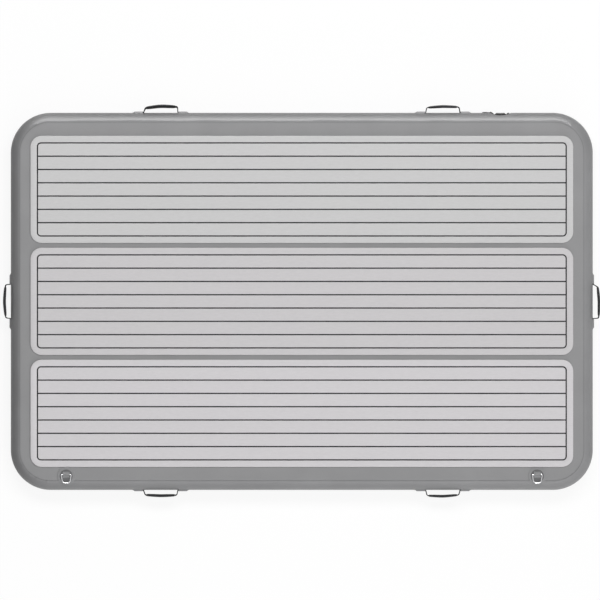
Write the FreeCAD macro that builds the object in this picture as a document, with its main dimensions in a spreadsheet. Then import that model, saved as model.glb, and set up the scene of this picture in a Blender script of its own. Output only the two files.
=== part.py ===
import FreeCAD, Part
import math
import os
import re

import Sketcher

# Inflatable floating dock: a drop-stitch air chamber with three grooved foam deck pads, six carry
# handles, two D-rings and an inflation valve. Millimetres. X runs along the dock, +Y toward its back
# edge, +Z up. The origin is the middle of the underside.

V = FreeCAD.Vector
SPACED = 1

# Driving dimensions, one cell of the sheet each
DIMENSIONS = {
    # Air chamber and the tape round its side wall
    "dock_length": 2500,
    "dock_width": 1620,
    "dock_height": 150,
    "corner_radius": 172,
    "side_bulge": 50,
    "shoulder_radius": 28,
    "tape_thickness": 0.9,
    "tape_inset": 42,
    # Deck pads
    "deck_end_margin": 86,
    "deck_side_margin": 100,
    "pad_gap": 20,
    "pad_corner_radius": 49,
    "pad_bevel": 2,
    "backing_thickness": 2,
    "plank_thickness": 4,
    "plank_count": 7,
    "groove_width": 5.5,
    "groove_inset": 30.5,
    "groove_corner_radius": 15,
    # Carry handles
    "handle_end_inset": 644,
    "handle_span": 147,
    "handle_reach": 32,
    "handle_shoulder": 10,
    "handle_bend": 8,
    "webbing_width": 38,
    "webbing_thickness": 3,
    "foot_length": 36,
    "grip_length": 124,
    "grip_width": 44,
    "grip_thickness": 10,
    "grip_end_thickness": 6,
    "grip_bevel": 1.5,
    "patch_length": 46,
    "patch_height": 56,
    "patch_thickness": 1,
    "patch_corner_radius": 10,
    "patch_bevel": 2,
    # D-rings and their patches
    "ring_end_inset": 240,
    "ring_side_inset": 67,
    "ring_width": 48,
    "ring_length": 41.5,
    "ring_wire": 5.4,
    "ring_taper": 5.8,
    "ring_bar_bend": 4.5,
    "ring_end_bend": 14,
    "ring_clearance": 0.3,
    "disc_shift": 6,
    "base_disc_radius": 39,
    "cover_disc_radius": 28,
    "sleeve_length": 30,
    # Inflation valve, in its recess
    "valve_end_inset": 397,
    "valve_depth": 16,
    "valve_clearance": 0.3,
    "recess_clearance": 0.8,
    "recess_flare": 3.7,
    "valve_wall": 3,
    "gasket_thickness": 1,
    "gasket_radius": 31,
    "flange_radius": 38.5,
    "flange_thickness": 3,
    "collar_radius": 17,
    "collar_height": 5,
    "bore_radius": 13,
    "barrel_radius": 16,
    "barrel_length": 27,
    "seat_radius": 9.5,
    "seat_thickness": 2,
    "guide_depth": 17,
    "guide_height": 4,
    "guide_radius": 5,
    "guide_arm_width": 3,
    "guide_arm_count": 3,
    "stem_radius": 2.5,
    "stem_fit": 0.06,
    "stem_head_radius": 5,
    "stem_head_height": 2,
    "stem_head_depth": 3,
    "stem_button_radius": 4,
    "stem_travel": 6,
    "diaphragm_lap": 2,
    "diaphragm_thickness": 2,
    "spring_wire": 0.9,
    "spring_turns": 4,
    "nut_radius": 29,
    "nut_height": 8,
    "nut_notch_width": 7,
    "nut_notch_depth": 4,
    "nut_notch_count": 6,
    "cap_radius": 23.5,
    "cap_plate_thickness": 2.2,
    "cap_edge_radius": 1.5,
    "cap_bar_length": 38,
    "cap_bar_width": 8,
    "cap_bar_height": 3,
    "cap_seal_thickness": 1.5,
    "leash_thickness": 2.4,
    "leash_height": 3.2,
    "leash_width": 8,
    "leash_reach": 78,
    "leash_tab_length": 18,
    "leash_tab_width": 16,
    "leash_ring_width": 4,
    "pull_tab_reach": 38,
    "pull_tab_rise": 4,
    "pull_tab_width": 10,
    "leash_groove_depth": 1.5,
}

doc = FreeCAD.newDocument("FloatingDock")
sheet = doc.addObject("Spreadsheet::Sheet", "Sizes")
for row, (word, value) in enumerate(DIMENSIONS.items(), start=1):
    sheet.set(f"A{row}", word)
    sheet.set(f"B{row}", str(value))
    sheet.setAlias(f"B{row}", word)
doc.recompute()


# Sizes and sketches

def link(text):
    """The expression with each dimension's word turned into its cell of the sheet."""
    def cell(found):
        return f"Sizes.{found[0]}" if found[0] in DIMENSIONS else found[0]

    return re.sub(r"[a-z_]+", cell, text)


def size(text):
    """The expression's value in millimetres."""
    return float(sheet.evalExpression(link(text)))


def new_body(label):
    """An empty body, named for its sub-part."""
    body = doc.addObject("PartDesign::Body", label)
    body.Label = label
    return body


def sketch(body, name, role, x="0", y="0", z="0"):
    """A sketch on one of the body's origin planes, moved by x, y and z along the sketch's own axes."""
    new = body.newObject("Sketcher::SketchObject", name)
    plane = next(feature for feature in body.Origin.OriginFeatures if feature.Role == role)
    new.AttachmentSupport = [(plane, "")]
    new.MapMode = "FlatFace"
    for axis, offset in zip("xyz", (x, y, z)):
        new.setExpression(f".AttachmentOffset.Base.{axis}", link(offset))
    return new


def hold(new, kind, *where, by):
    """A constraint of the sketch that follows an expression."""
    index = new.addConstraint(Sketcher.Constraint(kind, *where, size(by)))
    new.setExpression(f"Constraints[{index}]", link(by))


def tie(new, *constraints):
    """Constraints of the sketch that have no size."""
    for kind, *where in constraints:
        new.addConstraint(Sketcher.Constraint(kind, *where))


def place(new, item, point, x, y):
    """Hold a point of the sketch at x, y from the sketch's origin."""
    for axis, kind, by in ((-2, "DistanceX", x), (-1, "DistanceY", y)):
        if abs(size(by)) < 1e-9:
            tie(new, ("PointOnObject", item, point, axis))
        else:
            hold(new, kind, -1, 1, item, point, by=by)


def polygon(new, corners):
    """A closed outline of straight lines through corners (x, y) or rounded corners (x, y, radius)."""
    points = [V(size(corner[0]), size(corner[1]), 0) for corner in corners]
    count = len(corners)
    ends = []
    for i, corner in enumerate(corners):
        if len(corner) == 2:
            ends.append((points[i], points[i]))
            continue
        before = (points[i - 1] - points[i]).normalize()
        after = (points[(i + 1) % count] - points[i]).normalize()
        reach = size(corner[2]) / math.tan(before.getAngle(after) / 2)
        ends.append((points[i] + before * reach, points[i] + after * reach))
    lines = [
        new.addGeometry(Part.LineSegment(ends[i][1], ends[(i + 1) % count][0])) for i in range(count)
    ]
    for i, corner in enumerate(corners):
        before, after = lines[i - 1], lines[i]
        if len(corner) == 2:
            tie(new, ("Coincident", before, 2, after, 1))
            place(new, after, 1, corner[0], corner[1])
            continue
        inward = (ends[i][0] + ends[i][1]) * 0.5 - points[i]
        slope = inward.Length / ends[i][0].distanceToPoint(points[i])
        centre = points[i] + inward * (1 / slope ** 2)
        middle = centre - inward.normalize() * size(corner[2])
        turns_left = (ends[i][0] - points[i]).cross(ends[i][1] - points[i]).z < 0
        start, stop = ends[i] if turns_left else ends[i][::-1]
        arc = new.addGeometry(Part.Arc(start, middle, stop))
        first, last = (1, 2) if turns_left else (2, 1)
        tie(new, ("Tangent", before, 2, arc, first), ("Tangent", arc, last, after, 1))
        hold(new, "Radius", arc, by=corner[2])
        tip = new.addGeometry(Part.Point(points[i]), True)
        tie(new, ("PointOnObject", tip, 1, before), ("PointOnObject", tip, 1, after))
        place(new, tip, 1, corner[0], corner[1])
    return new


def rectangle(new, half_x, half_y, radius=None, x="0", y="0"):
    """A rectangle about x, y, with rounded corners where a radius is given."""
    corners = []
    for side_x, side_y in ((1, 1), (-1, 1), (-1, -1), (1, -1)):
        corner = (f"{x} + {side_x} * ({half_x})", f"{y} + {side_y} * ({half_y})")
        corners.append(corner + (radius,) if radius else corner)
    return polygon(new, corners)


def circle(new, radius, x="0", y="0"):
    """A circle about x, y."""
    item = new.addGeometry(Part.Circle(V(size(x), size(y), 0), V(0, 0, 1), size(radius)))
    place(new, item, 3, x, y)
    hold(new, "Radius", item, by=radius)
    return new


def arch(new, half, leg, rise, bend, crown, base, upright, closed):
    """Two straight legs joined by a small arc, a large arc and a small arc, all tangent.

    The legs stand on base and are 2 x half apart, the arch rises above them by rise, and crown is the
    large arc's radius. The arch points along the sketch's y where upright, or else along its x.
    """
    a, b, small, large = size(half), size(rise), size(bend), size(crown)
    foot, top = size(base), size(base) + size(leg)

    def point(across, along):
        return V(across, along, 0) if upright else V(along, across, 0)

    def arc(centre_across, centre_along, radius, start, end):
        centre = point(centre_across, centre_along)
        angles = sorted(angle if upright else math.pi / 2 - angle for angle in (start, end))
        return new.addGeometry(Part.ArcOfCircle(Part.Circle(centre, V(0, 0, 1), radius), *angles))

    lean = math.atan2(large - b, a - small)
    first = new.addGeometry(Part.LineSegment(point(a, foot), point(a, top)))
    bend_one = arc(a - small, top, small, 0, lean)
    crown_arc = arc(0, top + b - large, large, lean, math.pi - lean)
    bend_two = arc(small - a, top, small, math.pi - lean, math.pi)
    last = new.addGeometry(Part.LineSegment(point(-a, top), point(-a, foot)))
    begin, end = (1, 2) if upright else (2, 1)
    tie(
        new,
        ("Tangent", first, 2, bend_one, begin),
        ("Tangent", bend_one, end, crown_arc, begin),
        ("Tangent", crown_arc, end, bend_two, begin),
        ("Tangent", bend_two, end, last, 1),
        ("Vertical" if upright else "Horizontal", first),
        ("Vertical" if upright else "Horizontal", last),
        ("Equal", bend_one, bend_two),
        ("Equal", first, last),
    )
    hold(new, "Radius", bend_one, by=bend)
    hold(new, "Radius", crown_arc, by=crown)
    hold(new, "DistanceY" if upright else "DistanceX", first, 1, first, 2, by=leg)
    for line, end_point, across in ((first, 1, half), (last, 2, f"-({half})")):
        place(new, line, end_point, *((across, base) if upright else (base, across)))
    if closed:
        shut = new.addGeometry(Part.LineSegment(point(-a, foot), point(a, foot)))
        tie(new, ("Coincident", last, 2, shut, 1), ("Coincident", shut, 2, first, 1))
    return new


# Features and finished pieces

def feature(body, kind, name, **settings):
    """A feature of the body. A setting given as text follows the sheet, any other is set as it is."""
    new = body.newObject(f"PartDesign::{kind}", name)
    for word, value in settings.items():
        if isinstance(value, str):
            new.setExpression(word, link(value))
        else:
            setattr(new, word, value)
    return new


def origin_axis(body, role):
    """One of the body's own axes or planes, as features refer to it."""
    return (next(item for item in body.Origin.OriginFeatures if item.Role == role), [""])


def pad(body, name, profile, length, both_ways=False, backward=False):
    return feature(body, "Pad", name, Profile=profile, Length=length, Midplane=both_ways, Reversed=backward)


def pocket(body, name, profile, length, both_ways=False, backward=False):
    return feature(body, "Pocket", name, Profile=profile, Length=length, Midplane=both_ways, Reversed=backward)


def revolve(body, name, profile, kind="Revolution"):
    """A full turn of the profile about the sketch's own vertical axis."""
    axis = (profile, ["V_Axis"])
    return feature(body, kind, name, Profile=profile, ReferenceAxis=axis, Angle=360.0)


def face_edges(body, wanted):
    """The edges round each face that wanted picks, as features refer to them."""
    doc.recompute()
    shape = body.Tip.Shape
    rims = [edge for face in shape.Faces if wanted(face) for edge in face.OuterWire.Edges]
    names = [
        f"Edge{number}" for number, edge in enumerate(shape.Edges, start=1)
        if any(edge.isSame(rim) for rim in rims)
    ]
    return (body.Tip, names)


def washer(body, name, inner, outer, low, thickness):
    """A flat ring about the body's Z axis."""
    rings = sketch(body, f"{name}_outline", "XY_Plane", z=low)
    circle(rings, outer)
    circle(rings, inner)
    return pad(body, name, rings, thickness)


def finish(body, last, x="0", y="0", z="0", turn=0, tilt=0):
    """Put a finished body in its place: tilted about X, turned about Z, then moved to x, y, z."""
    body.Tip = last
    turned = FreeCAD.Rotation(V(0, 0, 1), turn).multiply(FreeCAD.Rotation(V(1, 0, 0), tilt))
    body.Placement = FreeCAD.Placement(V(0, 0, 0), turned)
    for axis, where in zip("xyz", (x, y, z)):
        body.setExpression(f".Placement.Base.{axis}", link(where))
    return body


def cut_away(label, blank, *tools):
    """The blank less the solids that it lies against."""
    for number, tool in enumerate(tools, start=1):
        cut = doc.addObject("Part::Cut", f"{label}_cut_{number}")
        cut.Base = blank
        cut.Tool = tool
        blank = cut
    blank.Label = label
    return blank


# Section of the side wall: the flat top ends at a small shoulder arc, the wall is one large arc about
# mid height, and the underside mirrors the top. It is drawn from the silhouette inward and about mid
# height, and a layer outside the chamber grows all its radii alike.

HALF_HEIGHT = "dock_height / 2"
CHAMBER_BULGE = "(side_bulge - tape_thickness)"
WALL_RADIUS = (
    f"(({CHAMBER_BULGE} ^ 2 + ({HALF_HEIGHT}) ^ 2 - dock_height * shoulder_radius)"
    f" / (2 * ({CHAMBER_BULGE} - shoulder_radius)))"
)
ON_TAPE = "tape_thickness"
RIM_DEPTH = "(side_bulge + shoulder_radius)"


def wall_section(new, grow="0", depth=RIM_DEPTH):
    """Closed section of the rim from depth inside the silhouette, grow outside the chamber's surface."""
    return arch(
        new, half=f"{HALF_HEIGHT} + {grow}", leg=f"{depth} - side_bulge", rise=f"{CHAMBER_BULGE} + {grow}",
        bend=f"shoulder_radius + {grow}", crown=f"{WALL_RADIUS} + {grow}", base=f"-({depth})",
        upright=False, closed=True,
    )


def dock_outline(new, inset):
    """The dock's rounded rectangle, inset from its silhouette."""
    return rectangle(
        new, f"dock_length / 2 - {inset}", f"dock_width / 2 - {inset}", f"corner_radius - {inset}"
    )


# Valve recess, drawn about the valve's axis with the recess floor at zero. The wall is drawn in round
# the valve's flange, and behind the wall lie the seat of the back nut and the well of the barrel.

VALVE_X = "dock_length / 2 - valve_end_inset"
VALVE_Y = "dock_width / 2 - valve_depth"
RECESS_RADIUS = "(flange_radius + recess_clearance)"
BARREL_HOLE = "barrel_radius + valve_clearance"
NUT_POCKET = "nut_radius + valve_clearance"
NUT_FLOOR = "-(valve_wall + nut_height + valve_clearance)"
WELL_FLOOR = "-(barrel_length + diaphragm_thickness + stem_head_height + stem_travel)"


def valve_recess(body):
    """Turn the recess, the nut's seat and the barrel's well out of a body that lies along the dock."""
    profile = sketch(body, "recess_profile", "XY_Plane", VALVE_X, VALVE_Y, HALF_HEIGHT)
    polygon(profile, [
        ("0", "valve_depth + side_bulge"),
        (f"{RECESS_RADIUS} + recess_flare", "valve_depth + side_bulge"),
        (f"{RECESS_RADIUS} + recess_flare", "valve_depth"),
        (RECESS_RADIUS, "0"),
        (BARREL_HOLE, "0"),
        (BARREL_HOLE, "-valve_wall"),
        (NUT_POCKET, "-valve_wall"),
        (NUT_POCKET, NUT_FLOOR),
        (BARREL_HOLE, NUT_FLOOR),
        (BARREL_HOLE, WELL_FLOOR),
        ("0", WELL_FLOOR),
    ])
    return revolve(body, "recess", profile, "Groove")


# Air chamber

def make_air_chamber():
    """The inflated pack: a flat slab with the bulging rim carried round it."""
    body = new_body("air_chamber")
    outline = dock_outline(sketch(body, "slab_outline", "XY_Plane"), RIM_DEPTH)
    pad(body, "slab", outline, "dock_height")
    section = wall_section(sketch(body, "rim_section", "XZ_Plane", "dock_length / 2", HALF_HEIGHT))
    feature(body, "AdditivePipe", "rim", Profile=section, Spine=(outline, []))
    return finish(body, valve_recess(body))


def make_side_wall_tape():
    """The tape: the rim grown by the tape's thickness, less the rim, less all that lies inside its edge."""
    body = new_body("side_wall_tape")
    path = dock_outline(sketch(body, "path", "XY_Plane"), RIM_DEPTH)
    outside = wall_section(sketch(body, "outer_section", "XZ_Plane", "dock_length / 2", HALF_HEIGHT), ON_TAPE)
    feature(body, "AdditivePipe", "tape_block", Profile=outside, Spine=(path, []))
    inside = wall_section(
        sketch(body, "inner_section", "XZ_Plane", "dock_length / 2", HALF_HEIGHT), "0", f"({RIM_DEPTH} + 1)"
    )
    feature(body, "SubtractivePipe", "chamber_space", Profile=inside, Spine=(path, []))
    edge = dock_outline(sketch(body, "edge_outline", "XY_Plane", z=HALF_HEIGHT), "tape_inset")
    pocket(body, "edge", edge, "2 * dock_height", both_ways=True)
    return finish(body, valve_recess(body))


# Deck pads

PAD_X = "dock_length / 2 - deck_end_margin"
PAD_WIDTH = "((dock_width - 2 * deck_side_margin - 2 * pad_gap) / 3)"
PLANK_PITCH = f"(({PAD_WIDTH} - 2 * groove_inset) / plank_count)"


def pad_outline(new, inset, radius):
    """A pad's rounded rectangle, inset from its edge."""
    return rectangle(new, f"{PAD_X} - {inset}", f"{PAD_WIDTH} / 2 - {inset}", radius)


def make_pad_backing(name, y):
    """The dark foam sheet under a pad, glued to the top sheet."""
    body = new_body(f"{name}_backing")
    outline = pad_outline(sketch(body, "outline", "XY_Plane"), "0", "pad_corner_radius")
    return finish(body, pad(body, "sheet", outline, "backing_thickness"), y=y, z="dock_height")


def make_pad_border(name, y):
    """The light foam left round the outermost groove, its outer edge bevelled."""
    body = new_body(f"{name}_border")
    outline = pad_outline(sketch(body, "outline", "XY_Plane"), "0", "pad_corner_radius")
    body.Tip = pad(body, "foam", outline, "plank_thickness")
    top = face_edges(body, lambda face: face.BoundBox.ZMin > size("plank_thickness / 2"))
    feature(body, "Chamfer", "bevel", Base=top, Size="pad_bevel")
    inset = "(groove_inset - groove_width / 2)"
    field = pad_outline(sketch(body, "field", "XY_Plane"), inset, "groove_corner_radius + groove_width / 2")
    cut = pocket(body, "opening", field, "2 * plank_thickness", both_ways=True)
    return finish(body, cut, y=y, z="dock_height + backing_thickness")


def make_pad_planks(name, y):
    """The planks left standing between the grooves."""
    body = new_body(f"{name}_planks")
    inset = "(groove_inset + groove_width / 2)"
    field = pad_outline(sketch(body, "field", "XY_Plane"), inset, "groove_corner_radius - groove_width / 2")
    pad(body, "foam", field, "plank_thickness")
    line = sketch(body, "groove_outline", "XY_Plane", y=f"groove_inset + {PLANK_PITCH} - {PAD_WIDTH} / 2")
    rectangle(line, PAD_X, "groove_width / 2")
    groove = pocket(body, "groove", line, "2 * plank_thickness", both_ways=True)
    grooves = feature(
        body, "LinearPattern", "grooves", Originals=[groove], Direction=(line, ["V_Axis"]), Mode=SPACED,
        Offset=PLANK_PITCH, Occurrences="plank_count - 1",
    )
    return finish(body, grooves, y=y, z="dock_height + backing_thickness")


# Carry handles, drawn with x along the wall, y outward from the silhouette and z up from mid height

HANDLE_PEAK = "(handle_reach - grip_thickness / 2)"
HANDLE_CROWN = (
    "((handle_shoulder ^ 2 + (handle_span / 2) ^ 2 - handle_span * handle_bend)"
    " / (2 * (handle_shoulder - handle_bend)))"
)
ON_WEBBING = f"({ON_TAPE} + webbing_thickness)"
ON_PATCH = f"({ON_WEBBING} + patch_thickness)"
FOOT_MIDDLE = "(handle_span / 2 + foot_length / 2)"
PATCH_MIDDLE = "(handle_span / 2 + webbing_thickness / 2 + patch_length / 2)"
WALL_DEPTH = "(2 * side_bulge)"


def outside_wall(new, grow):
    """All that lies outside the wall's surface, grown, as a frame with the wall's section cut out."""
    rectangle(new, "dock_height", "dock_height")
    return wall_section(new, grow, WALL_DEPTH)


def make_strap(name, place_at):
    """Webbing: two feet that lie along the wall and the loop that stands out between them."""
    body = new_body(f"{name}_strap")
    feet = sketch(body, "feet_outline", "XZ_Plane")
    for side in (1, -1):
        rectangle(feet, "foot_length / 2", "webbing_width / 2", x=f"{side} * {FOOT_MIDDLE}")
    pad(body, "feet_blocks", feet, "side_bulge", both_ways=True)
    top = outside_wall(sketch(body, "feet_top", "YZ_Plane"), ON_WEBBING)
    pocket(body, "feet_curve", top, "2 * handle_span", both_ways=True)
    path = arch(
        sketch(body, "loop_path", "XY_Plane"), half="handle_span / 2",
        leg=HANDLE_PEAK, rise="handle_shoulder", bend="handle_bend", crown=HANDLE_CROWN,
        base="-handle_shoulder", upright=True, closed=False,
    )
    section = sketch(body, "webbing_section", "XZ_Plane", x="handle_span / 2", z="handle_shoulder")
    rectangle(section, "webbing_thickness / 2", "webbing_width / 2")
    feature(body, "AdditivePipe", "loop", Profile=section, Spine=(path, []))
    inside = wall_section(sketch(body, "wall_section", "YZ_Plane"), ON_TAPE, WALL_DEPTH)
    last = pocket(body, "wall_side", inside, "2 * handle_span", both_ways=True)
    return finish(body, last, *place_at)


def make_grip(name, strap, place_at):
    """Padded sleeve on the loop: straight toward the wall, bowed on the outside, thin at its ends."""
    body = new_body(f"{name}_grip_blank")
    half = "grip_length / 2"
    end_y = f"({HANDLE_PEAK} - {HANDLE_CROWN} + sqrt({HANDLE_CROWN} ^ 2 - ({half}) ^ 2))"
    low, end, top = f"{end_y} - grip_end_thickness / 2", f"{end_y} + grip_end_thickness / 2", "handle_reach"
    outline = sketch(body, "outline", "XY_Plane")
    places = ((f"-{half}", end), (f"-{half}", low), (half, low), (half, end))
    corners = [V(size(x), size(y), 0) for x, y in places]
    lines = [outline.addGeometry(Part.LineSegment(*pair)) for pair in zip(corners, corners[1:])]
    bow = outline.addGeometry(Part.Arc(corners[3], V(0, size(top), 0), corners[0]))
    tie(
        outline,
        ("Coincident", lines[0], 2, lines[1], 1),
        ("Coincident", lines[1], 2, lines[2], 1),
        ("Coincident", lines[2], 2, bow, 1),
        ("Coincident", bow, 2, lines[0], 1),
        ("Vertical", lines[0]),
        ("Horizontal", lines[1]),
        ("Vertical", lines[2]),
        ("Equal", lines[0], lines[2]),
    )
    place(outline, lines[1], 1, f"-{half}", low)
    place(outline, lines[2], 2, half, end)
    rise = f"({top} - ({end}))"
    hold(outline, "Radius", bow, by=f"(({half}) ^ 2 + {rise} ^ 2) / (2 * {rise})")
    body.Tip = pad(body, "padding", outline, "grip_width", both_ways=True)
    rims = face_edges(body, lambda face: abs(face.normalAt(0, 0).z) > 0.5)
    last = feature(body, "Chamfer", "bevel", Base=rims, Size="grip_bevel")
    return cut_away(f"{name}_grip", finish(body, last, *place_at), strap)


def make_end_patches(name, strap, place_at):
    """Two bevelled patches glued over the strap's feet."""
    body = new_body(f"{name}_patches_blank")
    outline = sketch(body, "patch_outline", "XZ_Plane")
    for side in (1, -1):
        rectangle(
            outline, "patch_length / 2", "patch_height / 2", "patch_corner_radius",
            x=f"{side} * {PATCH_MIDDLE}",
        )
    pad(body, "patch_blocks", outline, "side_bulge", both_ways=True)
    top = outside_wall(sketch(body, "patch_top", "YZ_Plane"), ON_PATCH)
    body.Tip = pocket(body, "patch_curve", top, "4 * handle_span", both_ways=True)
    crown = size(WALL_RADIUS)
    outer = face_edges(body, lambda face: getattr(face.Surface, "Radius", 0) > crown)
    feature(body, "Chamfer", "bevel", Base=outer, Size="patch_bevel")
    inside = wall_section(sketch(body, "wall_section", "YZ_Plane"), ON_TAPE, WALL_DEPTH)
    last = pocket(body, "wall_side", inside, "4 * handle_span", both_ways=True)
    return cut_away(f"{name}_patches", finish(body, last, *place_at), strap)


# D-rings, drawn as the handles are: x along the wall, y outward from the silhouette, z from mid height

ON_BASE = f"({ON_TAPE} + patch_thickness)"
ON_COVER = f"({ON_BASE} + patch_thickness)"
DISC_Y = "disc_shift - ring_side_inset"
BAR_Y = "-ring_side_inset"
BAR_Z = f"({HALF_HEIGHT} + {ON_COVER} + ring_clearance + ring_wire / 2)"
SLEEVE_BORE = "(ring_wire / 2 + ring_clearance)"
DISC_DEPTH = "(side_bulge + 4 * base_disc_radius)"


def disc_blank(body, radius, outer):
    """A disc that stands on mid height and ends at the wall's surface, grown by outer."""
    outline = circle(sketch(body, "disc_outline", "XY_Plane"), radius, y=DISC_Y)
    pad(body, "disc", outline, "dock_height")
    frame = sketch(body, "disc_top", "YZ_Plane")
    rectangle(frame, "2 * dock_height", "dock_height")
    wall_section(frame, outer, DISC_DEPTH)
    return pocket(body, "disc_curve", frame, f"4 * {radius}", both_ways=True)


def make_base_patch(name, chamber, tape, place_at):
    """The lower disc, glued over the top sheet and the tape's edge."""
    body = new_body(f"{name}_base_patch_blank")
    blank = finish(body, disc_blank(body, "base_disc_radius", ON_BASE), *place_at)
    return cut_away(f"{name}_base_patch", blank, chamber, tape)


def make_ring_sleeve(name, place_at):
    """The upper disc with the sleeve that holds the ring's bar."""
    body = new_body(f"{name}_sleeve_patch")
    disc_blank(body, "cover_disc_radius", ON_COVER)
    tube = sketch(body, "sleeve_outline", "YZ_Plane")
    circle(tube, f"{SLEEVE_BORE} + patch_thickness", BAR_Y, BAR_Z)
    pad(body, "sleeve", tube, "sleeve_length", both_ways=True)
    inside = wall_section(sketch(body, "wall_section", "YZ_Plane"), ON_BASE, DISC_DEPTH)
    pocket(body, "underside", inside, "4 * base_disc_radius", both_ways=True)
    hole = circle(sketch(body, "bore_outline", "YZ_Plane"), SLEEVE_BORE, BAR_Y, BAR_Z)
    return finish(body, pocket(body, "bore", hole, "2 * ring_width", both_ways=True), *place_at)


def make_ring(name, place_at):
    """Bent wire: a straight bar, two legs that close in, and a round end toward the dock's edge."""
    body = new_body(name)
    path = sketch(body, "wire_path", "XY_Plane", z=BAR_Z)
    half = "(ring_width - ring_wire) / 2"
    end = f"{BAR_Y} + ring_length - ring_wire"
    polygon(path, [
        (half, BAR_Y, "ring_bar_bend"),
        (f"{half} - ring_taper", end, "ring_end_bend"),
        (f"ring_taper - {half}", end, "ring_end_bend"),
        (f"-{half}", BAR_Y, "ring_bar_bend"),
    ])
    wire = circle(sketch(body, "wire_section", "YZ_Plane"), "ring_wire / 2", BAR_Y, BAR_Z)
    return finish(body, feature(body, "AdditivePipe", "wire", Profile=wire, Spine=(path, [])), *place_at)


# Inflation valve, drawn about its axis with z outward and zero on the recess floor

FLANGE_TOP = "(gasket_thickness + flange_thickness)"
COLLAR_TOP = f"({FLANGE_TOP} + collar_height)"
BARREL_END = "(gasket_thickness - barrel_length)"
STEM_TOP = f"({COLLAR_TOP} - stem_head_depth)"
GUIDE_TOP = "(guide_height - guide_depth)"
CAP_FLOOR = f"({COLLAR_TOP} + cap_seal_thickness)"
CAP_TOP = f"({CAP_FLOOR} + cap_plate_thickness)"
LEASH_LEVEL = f"({FLANGE_TOP} + leash_height)"
LEASH_RING = "(cap_radius - leash_groove_depth + valve_clearance)"
LEASH_LAY = "(valve_depth + valve_clearance)"
AT_VALVE = (VALVE_X, VALVE_Y, HALF_HEIGHT, 0, -90)


def make_valve_body():
    """Flange, collar, barrel and seat turned as one, with a guide for the stem on three arms."""
    body = new_body("valve_body")
    profile = polygon(sketch(body, "profile", "XZ_Plane"), [
        ("bore_radius", COLLAR_TOP),
        ("collar_radius", COLLAR_TOP),
        ("collar_radius", FLANGE_TOP),
        ("flange_radius", FLANGE_TOP, "flange_thickness / 2"),
        ("flange_radius", "gasket_thickness"),
        ("barrel_radius", "gasket_thickness"),
        ("barrel_radius", BARREL_END),
        ("seat_radius", BARREL_END),
        ("seat_radius", f"{BARREL_END} + seat_thickness"),
        ("bore_radius", f"{BARREL_END} + seat_thickness"),
    ])
    revolve(body, "shell", profile)
    washer(body, "guide", "stem_radius + stem_fit", "guide_radius", "-guide_depth", "guide_height")
    inner = "(stem_radius + guide_radius) / 2"
    outer = "(bore_radius + barrel_radius) / 2"
    outline = sketch(body, "arm_outline", "XY_Plane", z="-guide_depth")
    rectangle(outline, f"({outer} - {inner}) / 2", "guide_arm_width / 2", x=f"({outer} + {inner}) / 2")
    arm = pad(body, "arm", outline, "guide_height")
    arms = feature(
        body, "PolarPattern", "arms", Originals=[arm], Axis=origin_axis(body, "Z_Axis"), Angle=360.0,
        Occurrences="guide_arm_count",
    )
    return finish(body, arms, *AT_VALVE)


def make_valve_nut():
    """Notched ring that clamps the wall against the flange from inside."""
    body = new_body("valve_nut")
    low = "-(valve_wall + nut_height)"
    washer(body, "nut", "barrel_radius + stem_fit", "nut_radius", low, "nut_height")
    outline = sketch(body, "notch_outline", "XY_Plane", z=low)
    rectangle(outline, "nut_notch_depth", "nut_notch_width / 2", x="nut_radius")
    notch = pocket(body, "notch", outline, "nut_height / 2", backward=True)
    notches = feature(
        body, "PolarPattern", "notches", Originals=[notch], Axis=origin_axis(body, "Z_Axis"), Angle=360.0,
        Occurrences="nut_notch_count",
    )
    return finish(body, notches, *AT_VALVE)


def make_valve_gasket():
    """Rubber ring between flange and wall."""
    body = new_body("valve_gasket")
    ring = washer(body, "ring", BARREL_HOLE, "gasket_radius", "0", "gasket_thickness")
    return finish(body, ring, *AT_VALVE)


def make_valve_stem():
    """Push pin: a head at the collar, a shaft through the guide, and a button that holds the diaphragm."""
    body = new_body("valve_stem")
    neck_end = f"{BARREL_END} - diaphragm_thickness"
    profile = polygon(sketch(body, "profile", "XZ_Plane"), [
        ("0", STEM_TOP),
        ("stem_head_radius", STEM_TOP),
        ("stem_head_radius", f"{STEM_TOP} - stem_head_height"),
        ("stem_radius", f"{STEM_TOP} - stem_head_height"),
        ("stem_radius", f"{BARREL_END} + seat_thickness"),
        ("stem_button_radius", f"{BARREL_END} + seat_thickness"),
        ("stem_button_radius", BARREL_END),
        ("stem_radius", BARREL_END),
        ("stem_radius", neck_end),
        ("stem_button_radius", neck_end),
        ("stem_button_radius", f"{neck_end} - stem_head_height"),
        ("0", f"{neck_end} - stem_head_height"),
    ])
    return finish(body, revolve(body, "pin", profile), *AT_VALVE)


def make_valve_diaphragm():
    """Rubber disc that the spring pulls up against the seat."""
    body = new_body("valve_diaphragm")
    low = f"{BARREL_END} - diaphragm_thickness"
    disc = washer(
        body, "disc", "stem_radius + stem_fit", "seat_radius + diaphragm_lap", low, "diaphragm_thickness"
    )
    return finish(body, disc, *AT_VALVE)


def make_valve_spring():
    """Coil of flat wire round the stem, from the guide up to the stem's head."""
    body = new_body("valve_spring")
    coil = "(stem_radius + guide_radius) / 2"
    wire = sketch(body, "wire_section", "XZ_Plane")
    rectangle(wire, "spring_wire / 2", "spring_wire / 2", x=coil, y=f"{GUIDE_TOP} + spring_wire / 2")
    height = f"({STEM_TOP} - stem_head_height - {GUIDE_TOP} - spring_wire)"
    turns = feature(
        body, "AdditiveHelix", "coil", Profile=wire, ReferenceAxis=(wire, ["V_Axis"]), Mode=0,
        Pitch=f"{height} / spring_turns", Height=height, Angle=0.0,
    )
    return finish(body, turns, *AT_VALVE)


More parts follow.
